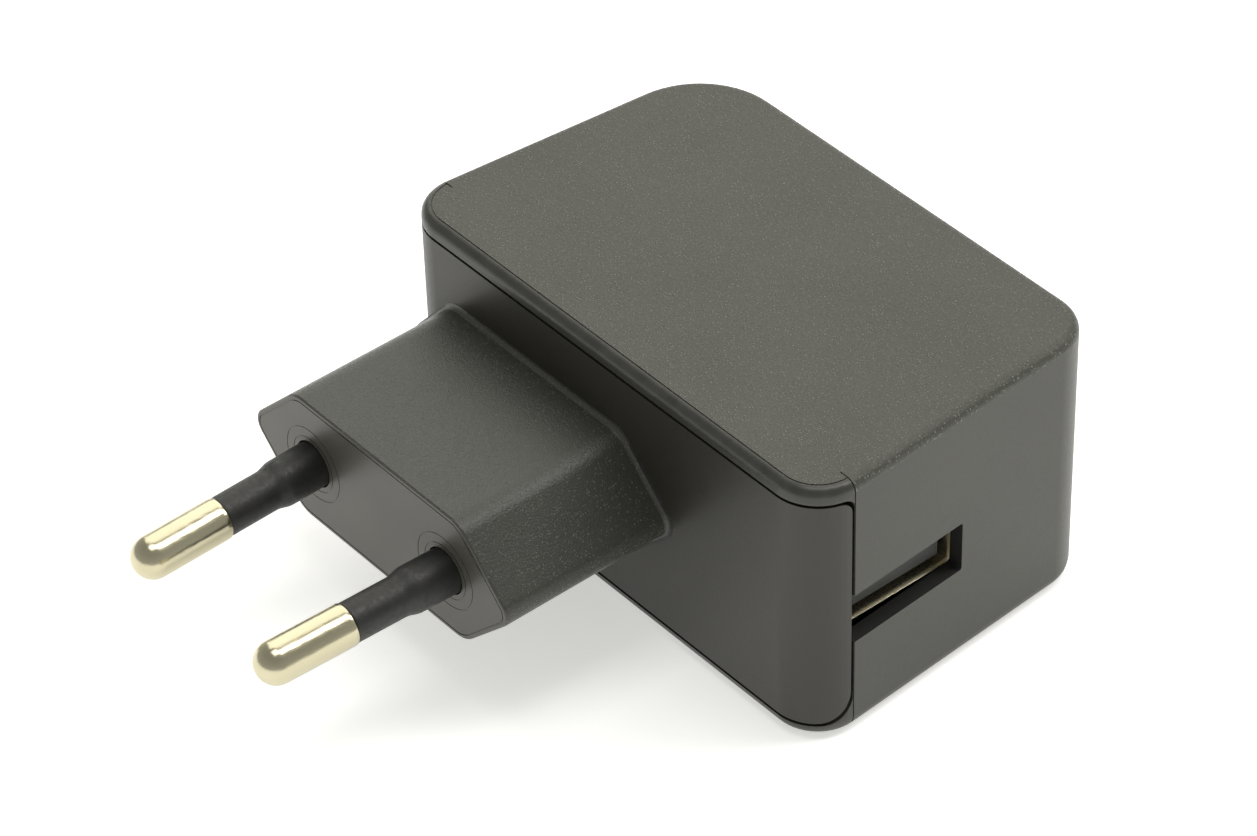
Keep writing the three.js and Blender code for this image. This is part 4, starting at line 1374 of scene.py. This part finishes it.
# ---------------------------------------------------------------- circuit
@dataclass(frozen=True)
class Circuit:
    """The power supply inside: CAD shapes that are right as they are, each in its own finish."""

    finishes: tuple[tuple[Finish, str], ...] = (
        (FERRITE, "core_half_left core_half_right"),
        (BOBBIN, "bobbin"),
        (WOUND_COPPER_PAINTED_SHADE, "winding"),
        (POLYESTER_TAPE, "winding_tape core_tape"),
        (LAMINATE, "main_board"),
        (CAN_SLEEVE, "input_capacitor_1 input_capacitor_2 supply_capacitor"),
        (CAN_SLEEVE, "output_capacitor_1 output_capacitor_2"),
        (CHOKE_SLEEVE, "filter_choke"),
        (FUSE_COAT, "fusible_resistor"),
        (DISC_COAT, "safety_capacitor"),
        (BARRIER_FILM, "barrier_sheet"),
        (CHIP_EPOXY, "bridge_rectifier controller_ic snubber_diode output_diode"),
        (CHIP_CERAMIC, "snubber_resistor snubber_capacitor current_sense_resistor"),
        (CHIP_CERAMIC, "feedback_resistor_1 feedback_resistor_2 data_resistor"),
    )

    def dress(self) -> None:
        """Gives every CAD node inside its finish."""
        for finish, names in self.finishes:
            for name in names.split():
                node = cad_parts[name]
                node.data.materials.clear()
                node.data.materials.append(finish.make())
                log.info("%s: %s", name, finish.name)


# ---------------------------------------------------------------- studio
@dataclass(frozen=True)
class SoftBox:
    """A rectangular light that looks at a point, in metres."""

    name: str
    azimuth: float
    elevation: float
    distance: float
    size: tuple[float, float]
    power: float
    colour: str = "#ffffff"

    def hang(self, aim: Vector) -> None:
        """Puts the light in the scene.

        Args:
            aim: the point that the light looks at.
        """
        lamp = bpy.data.lights.new(self.name, "AREA")
        lamp.shape = "RECTANGLE"
        lamp.size, lamp.size_y = self.size
        lamp.energy = self.power
        lamp.color = linear(self.colour)[:3]
        place = bpy.data.objects.new(self.name, lamp)
        a, e = math.radians(self.azimuth), math.radians(self.elevation)
        back = Vector((math.sin(a) * math.cos(e), -math.cos(a) * math.cos(e), math.sin(e)))
        place.location = aim + back * self.distance
        place.rotation_euler = back.to_track_quat("Z", "Y").to_euler()
        bpy.context.scene.collection.objects.link(place)


@dataclass
class Studio:
    """Floor, soft light and camera."""

    azimuth: float = 51.015
    elevation: float = 40.434
    roll: float = -1.759
    lens: float = 139.15
    distance: float = 0.42768
    aim_right: float = -0.010761
    aim_up: float = -0.002444
    lights: tuple[SoftBox, ...] = (
        SoftBox("window", -129, 40, 0.9, (0.9, 0.9), 3.9, "#fffdf4"),
        SoftBox("strip", 151, 57, 0.9, (0.25, 0.7), 3.3, "#fffdf8"),
        SoftBox("over", 0, 88, 0.9, (0.4, 0.4), 1.6, "#fffefa"),
    )
    room: float = 0.4
    backlight: float = 0.5

    def floor(self) -> None:
        """A plain pale surface under the object, lit a little from below so that its shadows stay faint."""
        half, level = 6.0, -0.00005
        corners = [(-half, -half, level), (half, -half, level), (half, half, level), (-half, half, level)]
        mesh = bpy.data.meshes.new("floor")
        mesh.from_pydata(corners, [], [(0, 1, 2, 3)])
        floor = bpy.data.objects.new("floor", mesh)
        bpy.context.scene.collection.objects.link(floor)
        white = Finish("backlit_white_acrylic", "#fbfbfb", "#f7f7f7", 0.9, grain=0.4, relief=0.0, patch=300)
        sheet = white.make()
        shader = next(node for node in sheet.node_tree.nodes if node.type == "BSDF_PRINCIPLED")
        shader.inputs["Emission Color"].default_value = linear("#fffffc")
        shader.inputs["Emission Strength"].default_value = self.backlight
        floor.data.materials.append(sheet)

    def world(self) -> None:
        """A pale room that is dimmer overhead, so that polished metal has something to reflect."""
        world = bpy.data.worlds.new("studio")
        bpy.context.scene.world = world
        world.use_nodes = True
        tree = world.node_tree
        tree.nodes.clear()
        output = add_node(tree, "ShaderNodeOutputWorld")
        place = add_node(tree, "ShaderNodeTexCoord").outputs["Generated"]
        height = add_node(tree, "ShaderNodeSeparateXYZ", {}, {"Vector": place}).outputs["Z"]
        settings = {"To Min": self.room * 1.25, "To Max": self.room * 0.75}
        strength = add_node(tree, "ShaderNodeMapRange", settings, {"Value": height}).outputs["Result"]
        light = add_node(tree, "ShaderNodeBackground", {"Color": linear("#fffffc")}, {"Strength": strength})
        tree.links.new(light.outputs[0], output.inputs["Surface"])

    def camera(self, form: BodyForm) -> None:
        """The camera: azimuth, elevation and roll give its axes, and it looks a little beside the middle.

        Args:
            form: the housing, whose middle the aim is measured from.
        """
        a, e, roll = (math.radians(value) for value in (self.azimuth, self.elevation, self.roll))
        ahead = Vector((-math.sin(a) * math.cos(e), math.cos(a) * math.cos(e), -math.sin(e)))
        level = ahead.cross(Vector((0, 0, 1))).normalized()
        above = level.cross(ahead)
        right = level * math.cos(roll) + above * math.sin(roll)
        up = above * math.cos(roll) - level * math.sin(roll)
        target = Vector((0, (form.front + form.rear) / 2 * MM, 0.01372))
        place = target + right * self.aim_right + up * self.aim_up - ahead * self.distance
        lens = bpy.data.cameras.new("camera")
        lens.lens = self.lens
        lens.sensor_width = 36.0
        lens.clip_start = 0.01
        camera = bpy.data.objects.new("camera", lens)
        axes = Matrix((right, up, -ahead)).transposed().to_4x4()
        camera.matrix_world = Matrix.Translation(place) @ axes
        bpy.context.scene.collection.objects.link(camera)
        bpy.context.scene.camera = camera

    def build(self, form: BodyForm) -> None:
        """Everything round the object.

        Args:
            form: the housing.
        """
        self.floor()
        self.world()
        middle = Vector((0, 0, 0.014))
        for light in self.lights:
            light.hang(middle)
        self.camera(form)
        bpy.context.scene.view_settings.view_transform = "Standard"


def main() -> None:
    """Builds the charger piece by piece."""
    logging.basicConfig(level=logging.INFO, format="%(name)s %(message)s")
    form = BodyForm()
    Studio().build(form)
    RearHousing(form).build()
    FrontCover(form).build()
    PlugPins(form).build()
    Receptacle().build()
    Circuit().dress()


if __name__ == "__main__":
    main()
